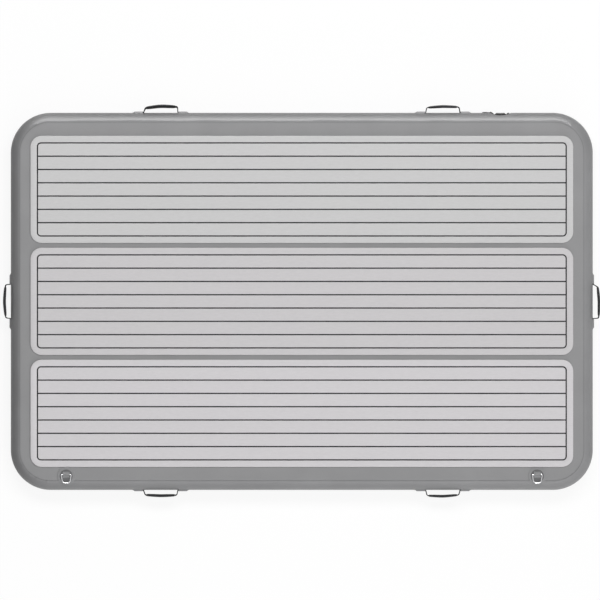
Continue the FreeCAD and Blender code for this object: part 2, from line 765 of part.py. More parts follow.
def make_valve_cap():
    """Cap over the collar, with a groove for the leash's ring and a bar to turn it by."""
    body = new_body("valve_cap")
    bore = "collar_radius + valve_clearance"
    low = f"{FLANGE_TOP} + valve_clearance"
    groove = "cap_radius - leash_groove_depth"
    groove_low = f"{LEASH_LEVEL} - valve_clearance"
    groove_high = f"{LEASH_LEVEL} + leash_thickness + valve_clearance"
    profile = polygon(sketch(body, "profile", "XZ_Plane"), [
        ("0", CAP_FLOOR),
        (bore, CAP_FLOOR),
        (bore, low),
        ("cap_radius", low),
        ("cap_radius", groove_low),
        (groove, groove_low),
        (groove, groove_high),
        ("cap_radius", groove_high),
        ("cap_radius", CAP_TOP, "cap_edge_radius"),
        ("0", CAP_TOP),
    ])
    revolve(body, "cup", profile)
    outline = sketch(body, "bar_outline", "XY_Plane", z=f"{CAP_TOP} - cap_plate_thickness / 2")
    rectangle(outline, "cap_bar_length / 2", "cap_bar_width / 2", "cap_bar_width / 2 - cap_edge_radius")
    bar = pad(body, "bar", outline, "cap_bar_height + cap_plate_thickness / 2")
    return finish(body, bar, *AT_VALVE)


def make_cap_seal():
    """Loose rubber ring inside the cap, on the collar's rim."""
    body = new_body("valve_cap_seal")
    ring = washer(body, "ring", "bore_radius", "collar_radius", COLLAR_TOP, "cap_seal_thickness")
    return finish(body, ring, *AT_VALVE)


def make_cap_leash():
    """Strip from a tab on the wall, over the recess's lip, to a ring that is loose in the cap's groove.

    Across from the strip a short tab slants out of the ring, to pull the cap off by.
    """
    body = new_body("valve_cap_leash")
    washer(body, "ring", LEASH_RING, f"{LEASH_RING} + leash_ring_width", LEASH_LEVEL, "leash_thickness")
    bends = (
        ("-leash_reach", LEASH_LAY),
        (f"-({RECESS_RADIUS} + leash_thickness)", LEASH_LAY, "2 * leash_thickness"),
        (f"-({LEASH_RING} + 2 * leash_ring_width)", LEASH_LEVEL, "2 * leash_thickness"),
        (f"-({LEASH_RING} + leash_ring_width / 2)", LEASH_LEVEL),
    )
    above = [(x, f"{z} + leash_thickness", *radius) for x, z, *radius in reversed(bends)]
    strip = polygon(sketch(body, "strip_profile", "XZ_Plane"), [*bends, *above])
    pad(body, "strip", strip, "leash_width", both_ways=True)
    rising = (
        (f"{LEASH_RING} + leash_ring_width / 2", LEASH_LEVEL),
        (f"{LEASH_RING} + leash_ring_width", LEASH_LEVEL),
        ("pull_tab_reach", f"{LEASH_LEVEL} + pull_tab_rise"),
    )
    above = [(x, f"{z} + leash_thickness") for x, z in reversed(rising)]
    pull_tab = polygon(sketch(body, "pull_tab_profile", "XZ_Plane"), [*rising, *above])
    pad(body, "pull_tab", pull_tab, "pull_tab_width", both_ways=True)
    outline = sketch(body, "tab_outline", "XY_Plane", z=LEASH_LAY)
    rectangle(
        outline, "leash_tab_length / 2", "leash_tab_width / 2", "leash_tab_width / 4",
        x="leash_tab_length / 2 - leash_reach",
    )
    return finish(body, pad(body, "tab", outline, "leash_thickness"), *AT_VALVE)


# The whole dock

END_X = "dock_length / 2"
SIDE_Y = "dock_width / 2"
HANDLE_X = "(dock_length / 2 - handle_end_inset)"
RING_X = "(dock_length / 2 - ring_end_inset)"

air_chamber = make_air_chamber()
side_wall_tape = make_side_wall_tape()
nodes = [air_chamber, side_wall_tape]

for name, step in (("back_pad", 1), ("middle_pad", 0), ("front_pad", -1)):
    middle = f"{step} * ({PAD_WIDTH} + pad_gap)"
    nodes += [make_pad_backing(name, middle), make_pad_border(name, middle), make_pad_planks(name, middle)]

for name, x, y, turn in (
    ("back_left_handle", f"-{HANDLE_X}", SIDE_Y, 0),
    ("back_right_handle", HANDLE_X, SIDE_Y, 0),
    ("front_left_handle", f"-{HANDLE_X}", f"-{SIDE_Y}", 180),
    ("front_right_handle", HANDLE_X, f"-{SIDE_Y}", 180),
    ("left_handle", f"-{END_X}", "0", 90),
    ("right_handle", END_X, "0", -90),
):
    where = (x, y, HALF_HEIGHT, turn)
    strap = make_strap(name, where)
    nodes += [strap, make_grip(name, strap, where), make_end_patches(name, strap, where)]

for name, x in (("left_d_ring", f"-{RING_X}"), ("right_d_ring", RING_X)):
    where = (x, f"-{SIDE_Y}", HALF_HEIGHT, 180)
    nodes += [
        make_base_patch(name, air_chamber, side_wall_tape, where),
        make_ring_sleeve(name, where),
        make_ring(name, where),
    ]

nodes += [
    make_valve_body(),
    make_valve_nut(),
    make_valve_gasket(),
    make_valve_stem(),
    make_valve_diaphragm(),
    make_valve_spring(),
    make_valve_cap(),
    make_cap_seal(),
    make_cap_leash(),
]

doc.recompute()
for item in doc.Objects:
    if "Invalid" in item.State or "Error" in item.State:
        raise RuntimeError(f"{item.Label} could not be built: {item.State}")
for node in nodes:
    if node.Shape.isNull() or not node.Shape.isValid():
        raise RuntimeError(f"{node.Label} has no valid shape")

os.makedirs("parts", exist_ok=True)
for node in nodes:
    node.Shape.exportStep(f"parts/{node.Label}.step")
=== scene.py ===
import math

import bmesh
import bpy
import numpy as np
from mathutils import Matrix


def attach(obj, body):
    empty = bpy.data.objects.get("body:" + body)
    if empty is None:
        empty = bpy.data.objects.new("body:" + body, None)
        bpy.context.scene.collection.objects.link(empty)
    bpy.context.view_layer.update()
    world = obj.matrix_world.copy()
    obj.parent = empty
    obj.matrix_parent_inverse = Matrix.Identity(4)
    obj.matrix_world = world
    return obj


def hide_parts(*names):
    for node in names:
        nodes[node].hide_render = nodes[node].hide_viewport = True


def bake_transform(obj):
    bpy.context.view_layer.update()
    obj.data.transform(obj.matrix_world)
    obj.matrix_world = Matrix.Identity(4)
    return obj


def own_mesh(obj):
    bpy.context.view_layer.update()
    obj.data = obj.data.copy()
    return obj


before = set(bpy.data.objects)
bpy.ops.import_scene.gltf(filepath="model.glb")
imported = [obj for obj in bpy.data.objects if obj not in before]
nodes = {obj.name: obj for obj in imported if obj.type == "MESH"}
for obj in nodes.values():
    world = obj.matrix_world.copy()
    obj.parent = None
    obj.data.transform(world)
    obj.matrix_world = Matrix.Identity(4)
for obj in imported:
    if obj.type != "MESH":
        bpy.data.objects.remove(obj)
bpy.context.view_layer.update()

# Air chamber: two sheets of PVC-coated fabric that drop threads hold apart, with a side wall that
# bulges between them. Sheets and wall are one welded skin, pumped hard, so it is flat on top and
# below and round at its edge.
HALF_LENGTH, HALF_WIDTH, HALF_HEIGHT = 1.25, 0.81, 0.075
CORNER_RADIUS = 0.172
FLAT_INSET = 0.05
TAPE = 0.0009
BULGE = FLAT_INSET - TAPE
SHOULDER = 0.028
CROWN = (BULGE**2 + HALF_HEIGHT**2 - 2 * HALF_HEIGHT * SHOULDER) / (2 * (BULGE - SHOULDER))
LEAN = math.atan2(HALF_HEIGHT - SHOULDER, CROWN - BULGE)
VALVE_X, VALVE_Y = 0.853, 0.794
MOUTH_X, MOUTH_Z = 0.075, 0.056
WELL_RADIUS, WELL_DEPTH = 0.021, 0.045
DIP_RADII = (0.042, 0.056)

CORE_X, CORE_Y = HALF_LENGTH - CORNER_RADIUS, HALF_WIDTH - CORNER_RADIUS
ARC = CORNER_RADIUS * math.pi / 2
WAY_KEYS = np.cumsum([0, CORE_Y, ARC, 2 * CORE_X, ARC, 2 * CORE_Y, ARC, 2 * CORE_X, ARC, CORE_Y])
PERIMETER = WAY_KEYS[-1]


def way_round(distance):
    """Corner centre line and outward direction, this far round the silhouette from its right middle.

    Along a side the centre line moves and the direction stays; round a corner the direction turns
    and the centre line stays.
    """
    core_x = np.interp(distance, WAY_KEYS, CORE_X * np.array([1, 1, 1, -1, -1, -1, -1, 1, 1, 1]))
    core_y = np.interp(distance, WAY_KEYS, CORE_Y * np.array([0, 1, 1, 1, 1, -1, -1, -1, -1, 0]))
    turn = np.interp(distance, WAY_KEYS, np.radians([0, 0, 90, 90, 180, 180, 270, 270, 360, 360]))
    return np.stack([core_x, core_y], -1), np.stack([np.cos(turn), np.sin(turn)], -1)


def wall_section(tilt):
    """How far the skin stands out from the flat's edge, and its height above mid height.

    Tilt is the angle of the skin's normal above level: steeper than the lean it is on the shoulder's
    small arc, and between it is on the wall's one large arc.
    """
    on_shoulder = np.abs(tilt) > LEAN
    out = np.where(on_shoulder, SHOULDER * np.cos(tilt), BULGE - CROWN + CROWN * np.cos(tilt))
    small_arc = np.sign(tilt) * (HALF_HEIGHT - SHOULDER) + SHOULDER * np.sin(tilt)
    return out, np.where(on_shoulder, small_arc, CROWN * np.sin(tilt))


def smooth(value, low, high):
    """Zero up to low, one from high, and an S-curve between them."""
    part = np.clip((value - low) / (high - low), 0, 1)
    return part * part * (3 - 2 * part)


def sink_at_valve(points, depth):
    """Lower the back wall by depth under the valve's mouth, and far down where its barrel goes in."""
    across, up = points[..., 0] - VALVE_X, points[..., 2] - HALF_HEIGHT
    away = np.hypot(across, up)
    under = smooth(MOUTH_X - np.abs(across), 0.002, 0.012) * smooth(MOUTH_Z - np.abs(up), 0.002, 0.012)
    lowered = points[..., 1] - depth * under
    lowered = lowered - (lowered - VALVE_Y + depth) * (1 - smooth(away, *DIP_RADII))
    lowered = np.where(away < WELL_RADIUS, VALVE_Y - WELL_DEPTH, lowered)
    points[..., 1] = np.where(points[..., 1] > CORE_Y, lowered, points[..., 1])
    return points


def surface(name, grid, uv=None, closed=(False, False)):
    """A piece with a quad between each four neighbours of a grid of points.

    Rows and columns close on themselves where asked, points that meet are merged, flat faces are
    dropped, and normals face out.
    """
    rows, columns = grid.shape[:2]
    index = np.arange(rows * columns).reshape(rows, columns)
    if closed[0]:
        index = np.vstack([index, index[:1]])
    if closed[1]:
        index = np.hstack([index, index[:, :1]])
    on, back = slice(1, None), slice(None, -1)
    corner = (back, back), (on, back), (on, on), (back, on)
    quads = np.stack([index[where] for where in corner], -1).reshape(-1, 4)
    mesh = bpy.data.meshes.new(name)
    mesh.from_pydata(grid.reshape(-1, 3).tolist(), [], quads.tolist())
    if uv is not None:
        layer = mesh.uv_layers.new(name="UVMap")
        layer.data.foreach_set("uv", np.stack([uv[where] for where in corner], 2).ravel())
    work = bmesh.new()
    work.from_mesh(mesh)
    bmesh.ops.remove_doubles(work, verts=work.verts, dist=2e-6)
    bmesh.ops.dissolve_degenerate(work, dist=1e-7, edges=work.edges)
    bmesh.ops.recalc_face_normals(work, faces=work.faces)
    work.to_mesh(mesh)
    work.free()
    mesh.shade_smooth()
    piece = bpy.data.objects.new(name, mesh)
    bpy.context.scene.collection.objects.link(piece)
    return piece


def raised(flat, height):
    """Flat points with their height, or one height for all, as a third number."""
    return np.concatenate([flat, np.broadcast_to(height, flat.shape[:-1])[..., None]], -1)


def steps_round(straight, corner, valve):
    """Distances round the silhouette, with their own step for sides, corners and the valve's place."""
    middle = WAY_KEYS[2] + CORE_X - VALVE_X
    parts = [np.arange(0, PERIMETER - straight / 2, straight)]
    parts.append(np.arange(middle - 0.085, middle + 0.085, valve))
    for key in (1, 3, 5, 7):
        parts.append(np.arange(WAY_KEYS[key] - 0.02, WAY_KEYS[key + 1] + 0.02, corner))
    steps = np.unique(np.concatenate(parts).round(5))
    return steps[np.append(np.diff(steps) > 0.0008, True)]


def make_skin():
    """Top sheet, wall and bottom sheet: rings from the middle of the top over the wall to the bottom.

    Inside the corner centres the rings shrink to the middle, and outside them each ring lies at one
    distance from the silhouette. Under the tape the skin is sunk a little.
    """
    distance = steps_round(0.05, 0.009, 0.003)
    core, outward = way_round(distance)
    tilt = np.radians(np.concatenate([[90] * 3, np.linspace(86, -86, 87), [-90] * 3]))
    out, up = wall_section(tilt)
    out[:3], out[-3:] = (-0.12, -0.06, -0.02), (-0.02, -0.06, -0.12)
    sunk = -0.0006 * smooth(out, 0.0085, 0.012)
    reach = CORNER_RADIUS - FLAT_INSET + out + sunk * np.cos(tilt)
    height = HALF_HEIGHT + up + sunk * np.sin(tilt)
    rim = sink_at_valve(raised(core[:, None] + outward[:, None] * reach[None, :, None], height), 0.006)
    flat = core[:, None] * np.array([0.0, 0.35, 0.7, 0.95])[None, :, None]
    grid = np.concatenate([raised(flat, 2 * HALF_HEIGHT), rim, raised(flat, 0.0)[:, ::-1]], 1)
    return surface("air_chamber_skin", grid, closed=(True, False))


def feed(tree, socket, value):
    """Link the input to what is a socket, or set it to what is a number or a colour."""
    if isinstance(value, bpy.types.NodeSocket):
        tree.links.new(value, socket)
    else:
        socket.default_value = value


def node(tree, kind, *values, **settings):
    """A shader node. The values feed its inputs in their order.

    A setting that names an input feeds that, and any other sets the node itself.
    """
    new = tree.nodes.new(kind)
    for socket, value in zip(new.inputs, values):
        feed(tree, socket, value)
    for word, value in settings.items():
        name = word.replace("_", " ")
        if name in new.inputs:
            feed(tree, new.inputs[name], value)
        else:
            setattr(new, word, value)
    return new


def maths(tree, operation, *values):
    """What a Math node makes of the values."""
    return node(tree, "ShaderNodeMath", *values, operation=operation).outputs[0]


def noise(tree, place, scale, detail, roughness=0.5):
    """Noise at this place."""
    return node(tree, "ShaderNodeTexNoise", Vector=place, Scale=scale, Detail=detail,
                Roughness=roughness).outputs["Fac"]


def wave(tree, place, scale, way, **settings):
    """Waves that run this way."""
    return node(tree, "ShaderNodeTexWave", place, scale, bands_direction=way, **settings).outputs["Fac"]


def object_place(tree):
    """Where a point is on the object."""
    return node(tree, "ShaderNodeTexCoord").outputs["Object"]


def new_material(name, colour, roughness, gloss=0.5):
    """A Principled material with its node tree and its shader to hand."""
    material = bpy.data.materials.new(name)
    material.use_nodes = True
    shader = material.node_tree.nodes["Principled BSDF"]
    shader.inputs["Base Color"].default_value = (*colour, 1)
    shader.inputs["Roughness"].default_value = roughness
    shader.inputs["Specular IOR Level"].default_value = gloss
    return material, material.node_tree, shader


def dress(tree, shader, colour, tint, height, bump):
    """Scale the colour by the tint, and raise a bump of this strength and distance by the height."""
    scaled = node(tree, "ShaderNodeVectorMath", colour, operation="SCALE", Scale=tint)
    feed(tree, shader.inputs["Base Color"], scaled.outputs[0])
    relief = node(tree, "ShaderNodeBump", Strength=bump[0], Distance=bump[1], Height=height)
    feed(tree, shader.inputs["Normal"], relief.outputs["Normal"])


def new_group(name, **inputs):
    """A node group with these inputs and their first values, and a height and a tint as its outputs."""
    group = bpy.data.node_groups.new(name, "ShaderNodeTree")
    for word, value in inputs.items():
        group.interface.new_socket(word, in_out="INPUT", socket_type="NodeSocketFloat").default_value = value
    for word in ("Height", "Tint"):
        group.interface.new_socket(word, in_out="OUTPUT", socket_type="NodeSocketFloat")
    return group, group.nodes.new("NodeGroupInput").outputs


def end_group(group, height, tint):
    """The group with its two results put out."""
    node(group, "NodeGroupOutput", height, tint)
    return group


def grained(name, colour, roughness, gloss, group, bump, **inputs):
    """A material whose colour and bump follow a grain group, with the group's inputs as given."""
    material, tree, shader = new_material(name, colour, roughness, gloss)
    grain = node(tree, "ShaderNodeGroup", node_tree=group, **inputs).outputs
    dress(tree, shader, colour, grain["Tint"], grain["Height"], bump)
    return material


def make_coated_cloth():
    """Coated fabric: the base cloth's fine weave pressed through the coating, and faint soft patches.

    Height is two crossed waves, a thread apart, with noise; Tint is slow noise about one.
    """
    group, given = new_group("coated_cloth", Thread=900.0, Patch=6.0, Strength=0.05)
    place = object_place(group)
    threads = [wave(group, place, given["Thread"], way, Distortion=0.6, Detail=1.0, Detail_Scale=2.0)
               for way in ("X", "Y")]
    height = maths(group, "ADD", maths(group, "MULTIPLY", *threads), noise(group, place, 260.0, 3.0))
    patch = maths(group, "SUBTRACT", noise(group, place, given["Patch"], 4.0, 0.55), 0.5)
    return end_group(group, height, maths(group, "MULTIPLY_ADD", patch, given["Strength"], 1.0))


coated_cloth = make_coated_cloth()
LOW_GLOSS = 0.15


def make_pvc(name, colour, roughness, patch):
    """Grey PVC-coated cloth."""
    return grained(name, colour, roughness, LOW_GLOSS, coated_cloth, (0.25, 0.0002), Strength=patch)


skin = make_skin()
skin.data.materials.append(make_pvc("pvc_sheet", (0.272, 0.272, 0.276), 0.6, 0.2))
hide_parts("air_chamber")
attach(skin, "dock")

# Side wall tape: a wide strip of the same PVC, glued round the whole wall and lapped onto both
# sheets. It lies smooth along the sides and puckers a little where it turns the corners.
TAPE_INSET = 0.042
TAPE_TILT = math.acos((FLAT_INSET - TAPE_INSET) / SHOULDER)
WALL_CROWN = CROWN + TAPE
FACE_POINTS, FACE_MIDDLE = 71, 0.493


def pucker(distance, tilt):
    """Small ripples of the tape, in metres: sums of sines with seeded lengths and phases.

    Round the corners they are short and strongest at the tape's edges; along the sides they are long
    and slight.
    """
    draw = np.random.default_rng(7)
    turning = np.zeros_like(distance)
    for key in (1, 3, 5, 7):
        turning += smooth(distance, WAY_KEYS[key] - 0.03, WAY_KEYS[key] + 0.04) * (
            1 - smooth(distance, WAY_KEYS[key + 1] - 0.04, WAY_KEYS[key + 1] + 0.03))
    short, long_waves = np.zeros_like(distance), np.zeros_like(distance)
    for length in (0.021, 0.033, 0.052):
        short += np.sin(2 * np.pi * distance / length + draw.uniform(0, 6.28))
    for turns in (9, 17, 31, 47):
        long_waves += np.sin(2 * np.pi * turns * distance / PERIMETER + draw.uniform(0, 6.28))
    edge = np.abs(tilt) / TAPE_TILT
    near_edge = smooth(edge, 0.45, 0.9)
    return (0.0004 * turning[:, None] * np.maximum(short, 0)[:, None] * near_edge
            + 0.0003 * long_waves[:, None] * np.sin(np.pi * smooth(edge, 0.1, 1.0)))


def make_tape():
    """The strip as a closed thin section carried round the wall: outside, edge, inside, edge."""
    distance = steps_round(0.015, 0.0035, 0.003)
    core, outward = way_round(distance)
    face = np.linspace(TAPE_TILT, -TAPE_TILT, FACE_POINTS)
    inside = face[::-4]
    tilt = np.concatenate([face, [-TAPE_TILT], inside, [TAPE_TILT]])
    edge = [TAPE * 0.6]
    lift = np.concatenate([np.full(FACE_POINTS, TAPE), edge, np.full(len(inside), -0.0002), edge])
    lift[[0, FACE_POINTS - 1]] = TAPE * 0.9
    out, up = wall_section(tilt)
    beside = np.abs(distance - WAY_KEYS[2] - CORE_X + VALVE_X)
    clear = smooth(beside, MOUTH_X + 0.005, MOUTH_X + 0.05)[:, None]
    lift = lift[None] + pucker(distance, tilt) * (lift > 0) * clear
    reach = CORNER_RADIUS - FLAT_INSET + out[None] + lift * np.cos(tilt)[None]
    flat = core[:, None] + outward[:, None] * reach[..., None]
    height = HALF_HEIGHT + up[None] + lift * np.sin(tilt)[None]
    grid = sink_at_valve(raised(flat, height), np.where(lift > 0, 0.003, 0.004))
    across = np.append(np.arange(len(tilt)) / FACE_POINTS, 1.0)
    uv = np.stack(np.meshgrid(np.append(distance, PERIMETER), across, indexing="ij"), -1)
    return surface("side_wall_tape_strip", grid, uv, (True, True))


RECESS_RADIUS, LIP_RADIUS = 0.0393, 0.0475
BARREL_HOLE = 0.0163
MOUTH_POWER = 7
MOUTH_SHEET = 0.0008


def make_valve_mouth():
    """The wall drawn in round the valve: rings from the barrel's hole to a rounded square on the wall.

    The floor is flat out to the recess's radius. From there the surface climbs to the wall by a share
    that rises steeply and dies away at the lip, and gathers run out from the lip as a cosine round it.
    """
    draw = np.random.default_rng(11)
    turn = np.linspace(0, 2 * np.pi, 180, endpoint=False)
    sides = np.abs(np.cos(turn) / MOUTH_X) ** MOUTH_POWER + np.abs(np.sin(turn) / MOUTH_Z) ** MOUTH_POWER
    square = sides ** (-1 / MOUTH_POWER)
    inner = np.concatenate([[BARREL_HOLE, 0.026, 0.036, 0.0385], np.linspace(0.0391, LIP_RADIUS, 15)])
    outward = np.linspace(0, 1, 16)[None, 1:] ** 1.2
    outer = LIP_RADIUS + (square[:, None] - LIP_RADIUS) * outward
    radius = np.concatenate([np.broadcast_to(inner, (len(turn), len(inner))), outer], 1)
    x, z = radius * np.cos(turn)[:, None], radius * np.sin(turn)[:, None]
    wall = HALF_WIDTH - WALL_CROWN + np.sqrt(WALL_CROWN**2 - z**2)
    folds = np.zeros_like(turn)
    for count, size in ((9, 0.6), (14, 0.5), (23, 0.3)):
        folds += size * np.cos(count * turn + draw.uniform(0, 6.28))
    gather = 0.0006 * folds[:, None] * smooth(radius, 0.0405, 0.046) * (1 - smooth(radius, 0.047, 0.054))
    share = 1 - np.clip(1 - (radius - RECESS_RADIUS) / (LIP_RADIUS - RECESS_RADIUS), 0, 1) ** 3
    share = np.where(radius < RECESS_RADIUS, 0, share)
    y = VALVE_Y + (wall - VALVE_Y) * share + gather + 0.00005 * (radius > LIP_RADIUS)
    front = np.stack([VALVE_X + x, y, HALF_HEIGHT + z], -1)
    back = front[:, ::-1] - (0, MOUTH_SHEET, 0)
    return surface("side_wall_tape_mouth", np.concatenate([front, back], 1), closed=(True, True))


def ramp(tree, value, low, high, first, last, kind="LINEAR"):
    """The value carried from low and high to first and last."""
    return node(tree, "ShaderNodeMapRange", value, low, high, first, last, interpolation_type=kind).outputs[0]


def uv_place(tree):
    """Where a point is on the piece's own UV map."""
    return node(tree, "ShaderNodeUVMap", uv_map="UVMap").outputs["UV"]


def line_at(tree, place, fold, limits):
    """A soft line along the map where its second number, folded back and forth at fold, nears zero."""
    across = node(tree, "ShaderNodeSeparateXYZ", place).outputs["Y"]
    return ramp(tree, maths(tree, "PINGPONG", across, fold), *limits, "SMOOTHSTEP")


def paint_tape_edge_shadow_and_glue(material):
    """Painted shadow under the tape's stepped edges, together with its glue margin: a dark line, by the share
    across the tape.
    """
    tree = material.node_tree
    line = line_at(tree, uv_place(tree), FACE_MIDDLE, (0.012, 0.05, 0.76, 1.0))
    colour = tree.nodes["Principled BSDF"].inputs["Base Color"]
    darker = node(tree, "ShaderNodeVectorMath", colour.links[0].from_socket, operation="SCALE", Scale=line)
    feed(tree, colour, darker.outputs[0])


pvc_tape = make_pvc("pvc_tape", (0.262, 0.262, 0.267), 0.42, 0.3)
pvc_mouth = pvc_tape.copy()
# The tape, and not the mouth's copy, gets a dark line along its edges: painted shadow under the edge's step,
# with the glue margin.
paint_tape_edge_shadow_and_glue(pvc_tape)
for piece in (make_tape(), make_valve_mouth()):
    piece.data.materials.append(pvc_mouth if "mouth" in piece.name else pvc_tape)
    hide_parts("side_wall_tape")
    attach(piece, "dock")

# Deck pads: three pads of closed-cell foam in two colours, a dark sheet under a light one. A router
# has cut the light sheet through along lines like a laid deck, so the dark one shows in the grooves.
PAD_HALF_LENGTH, PAD_HALF_WIDTH = 1.164, 0.23
PAD_PITCH = 0.48
BACKING_TOP, FOAM_TOP = 0.152, 0.156
GROOVE_INSET, GROOVE_WIDTH = 0.0305, 0.0055
PLANKS = 7
PAD_BEVEL, ROUTED_EDGE = 0.002, 0.0007
PAD_RADIUS, OPENING_RADIUS, OUTER_PLANK_RADIUS, ROUTED_RADIUS = 0.049, 0.01775, 0.01225, 0.0012


def rounded_outline(half_x, half_y, radii, corner_steps):
    """A rectangle's outline from its right back, each corner with its own radius and as many points."""
    turn = np.linspace(0, np.pi / 2, corner_steps)
    parts = []
    for quarter, (side_x, side_y) in enumerate(((1, 1), (-1, 1), (-1, -1), (1, -1))):
        radius, angle = radii[quarter], turn + quarter * np.pi / 2
        centre = (side_x * (half_x - radius), side_y * (half_y - radius))
        parts.append(np.stack([centre[0] + radius * np.cos(angle), centre[1] + radius * np.sin(angle)], -1))
    return np.concatenate(parts)


def make_border(name, middle_y):
    """The frame of light foam: a section with eased edges blended from the outer to the inner outline."""
    outer = rounded_outline(PAD_HALF_LENGTH, PAD_HALF_WIDTH, [PAD_RADIUS] * 4, 14)
    inset = GROOVE_INSET - GROOVE_WIDTH / 2
    inner = rounded_outline(PAD_HALF_LENGTH - inset, PAD_HALF_WIDTH - inset, [OPENING_RADIUS] * 4, 14)
    bevel, edge = PAD_BEVEL, ROUTED_EDGE
    across, height = np.array([
        (0, BACKING_TOP), (0, FOAM_TOP - bevel), (bevel * 0.3, FOAM_TOP - bevel * 0.55),
        (bevel * 0.75, FOAM_TOP - bevel * 0.15), (bevel * 1.3, FOAM_TOP), (inset - edge, FOAM_TOP),
        (inset - edge * 0.3, FOAM_TOP - edge * 0.3), (inset, FOAM_TOP - edge), (inset, BACKING_TOP),
    ]).T
    share = (across / inset)[None, :, None]
    flat = outer[:, None] * (1 - share) + inner[:, None] * share + (0, middle_y)
    return surface(name, raised(flat, height), closed=(True, True))


def joined(pieces, name):
    """The pieces made into one."""
    with bpy.context.temp_override(active_object=pieces[0], selected_editable_objects=pieces):
        bpy.ops.object.join()
    pieces[0].name = name
    return pieces[0]


def make_planks(name, middle_y):
    """The planks: each one's outline lowered and widened step by step over an eased edge, closed flat."""
    half_x = PAD_HALF_LENGTH - GROOVE_INSET - GROOVE_WIDTH / 2
    pitch = 2 * (PAD_HALF_WIDTH - GROOVE_INSET) / PLANKS
    half_plank = (pitch - GROOVE_WIDTH) / 2
    half_size = np.array([half_x, half_plank])
    edge = ROUTED_EDGE
    steps = ((0, BACKING_TOP), (0, FOAM_TOP - edge), (edge * 0.3, FOAM_TOP - edge * 0.3), (edge, FOAM_TOP),
             (edge * 2, FOAM_TOP))
    pieces = []
    for plank in range(PLANKS):
        radii = [OUTER_PLANK_RADIUS if plank == PLANKS - 1 else ROUTED_RADIUS] * 2
        radii += [OUTER_PLANK_RADIUS if plank == 0 else ROUTED_RADIUS] * 2
        outline = rounded_outline(half_x, half_plank, radii, 8)
        centre = np.array([0, middle_y + (plank - (PLANKS - 1) / 2) * pitch])
        middle = outline * (0.99, 0) + centre
        rings = [raised(outline * (1 - pull / half_size) + centre, z) for pull, z in steps]
        grid = np.stack([raised(middle, BACKING_TOP), *rings, raised(middle, FOAM_TOP)], 1)
        pieces.append(surface(f"{name}_{plank}", grid, closed=(True, False)))
    return joined(pieces, name)


def make_foam_face():
    """Brushed closed-cell foam: light streaks along the pad and fine pores.

    Height is noise drawn out along the pad with fine noise added; Tint is that brought near one.
    """
    group, given = new_group("foam_face", Streak=420.0, Pore=900.0)
    place = object_place(group)
    drawn = node(group, "ShaderNodeMapping", place, Scale=(0.12, 1, 1)).outputs[0]
    streaks, pores = noise(group, drawn, given["Streak"], 4.0), noise(group, place, given["Pore"], 2.0)
    height = maths(group, "ADD", streaks, pores)
    return end_group(group, height, ramp(group, height, 0.6, 1.4, 0.93, 1.06))


foam_face = make_foam_face()


def refinish(name, material):
    """Give a CAD node this material alone."""
    nodes[name].data.materials.clear()
    nodes[name].data.materials.append(material)


def make_foam(name, colour):
    """Foam of this colour."""
    return grained(name, colour, 0.85, 0.5, foam_face, (0.3, 0.0003))


foam_dark = make_foam("foam_dark", (0.02, 0.02, 0.022))
# The light foam is one material in three copies whose grey is painted: lighter on the front pad as painted
# light, a little darker on the back pad as painted shade, for how the lamps fall on them.
light_foam_with_painted_light = {
    "back_pad": make_foam("foam_light_back", (0.545, 0.543, 0.545)),
    "middle_pad": make_foam("foam_light_middle", (0.553, 0.54, 0.55)),
    "front_pad": make_foam("foam_light_front", (0.600, 0.585, 0.600)),
}
for step, pad in ((1, "back_pad"), (0, "middle_pad"), (-1, "front_pad")):
    refinish(f"{pad}_backing", foam_dark)
    for part, make in (("border", make_border), ("planks", make_planks)):
        piece = make(f"{pad}_{part}_foam", step * PAD_PITCH)
        piece.data.materials.append(light_foam_with_painted_light[pad])
        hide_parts(f"{pad}_{part}")
        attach(piece, "dock")

# Carry handles: a loop of black webbing whose feet lie flat on the wall under glued PVC patches. A
# padded sleeve is sewn round the loop for the hand. Each hangs a little differently.
HANDLE_SPAN = 0.147
FOOT = 0.036
FOLD_RADIUS, TOP_RADIUS, CROWN_RADIUS = 0.002, 0.008, 0.25
WEB_WIDTH, WEB = 0.038, 0.0042
GRIP_HALF, GRIP_HALF_WIDTH = 0.063, 0.022
GRIP_THICKNESS, GRIP_END_THICKNESS = 0.0098, 0.0066
WEB_ROOM, CREASE_LENGTH = 0.0004, 0.017
PUFF_SCALE, MOST_PUFF, PUFF_STEPS = 20, 0.001, 20
AIR_PRESSURE, SLEEVE_MASS = 4.0, 0.02
STITCH_STEP, STITCH = 0.0068, 0.0024
PATCH_HALF = (0.023, 0.028)
PATCH = 0.001

# For each: middle, turn, then how far inward and outward the left top bend lies, the same for the
# right one, how far out the middle of the loop is, and how far its upper edge leans out.
HANDLES = {
    "back_left_handle": ((-0.606, HALF_WIDTH), 0, (0.0080, 0.0205), (0.0010, 0.0255), 0.0280, 0.15),
    "back_right_handle": ((0.606, HALF_WIDTH), 0, (0.0045, 0.0225), (0.0040, 0.0250), 0.0265, 0.02),
    "front_left_handle": ((-0.606, -HALF_WIDTH), 180, (0.0045, 0.0225), (0.0070, 0.0215), 0.0240, 0.04),
    "front_right_handle": ((0.606, -HALF_WIDTH), 180, (0.0050, 0.0215), (0.0060, 0.0245), 0.0265, -0.01),
    "left_handle": ((-HALF_LENGTH, 0.0), 90, (0.0030, 0.0220), (0.0020, 0.0228), 0.0272, 0.03),
    "right_handle": ((HALF_LENGTH, 0.0), -90, (0.0120, 0.0210), (0.0010, 0.0255), 0.0265, 0.03),
}


def on_wall(points, middle, turn):
    """Points with x along the wall, y out from it and z from mid height, put where the handle is."""
    angle = math.radians(turn)
    along = np.array([math.cos(angle), math.sin(angle)])
    out = np.array([-math.sin(angle), math.cos(angle)])
    flat = np.array(middle) + points[..., :1] * along + points[..., 1:2] * out
    return raised(flat, points[..., 2] + HALF_HEIGHT)


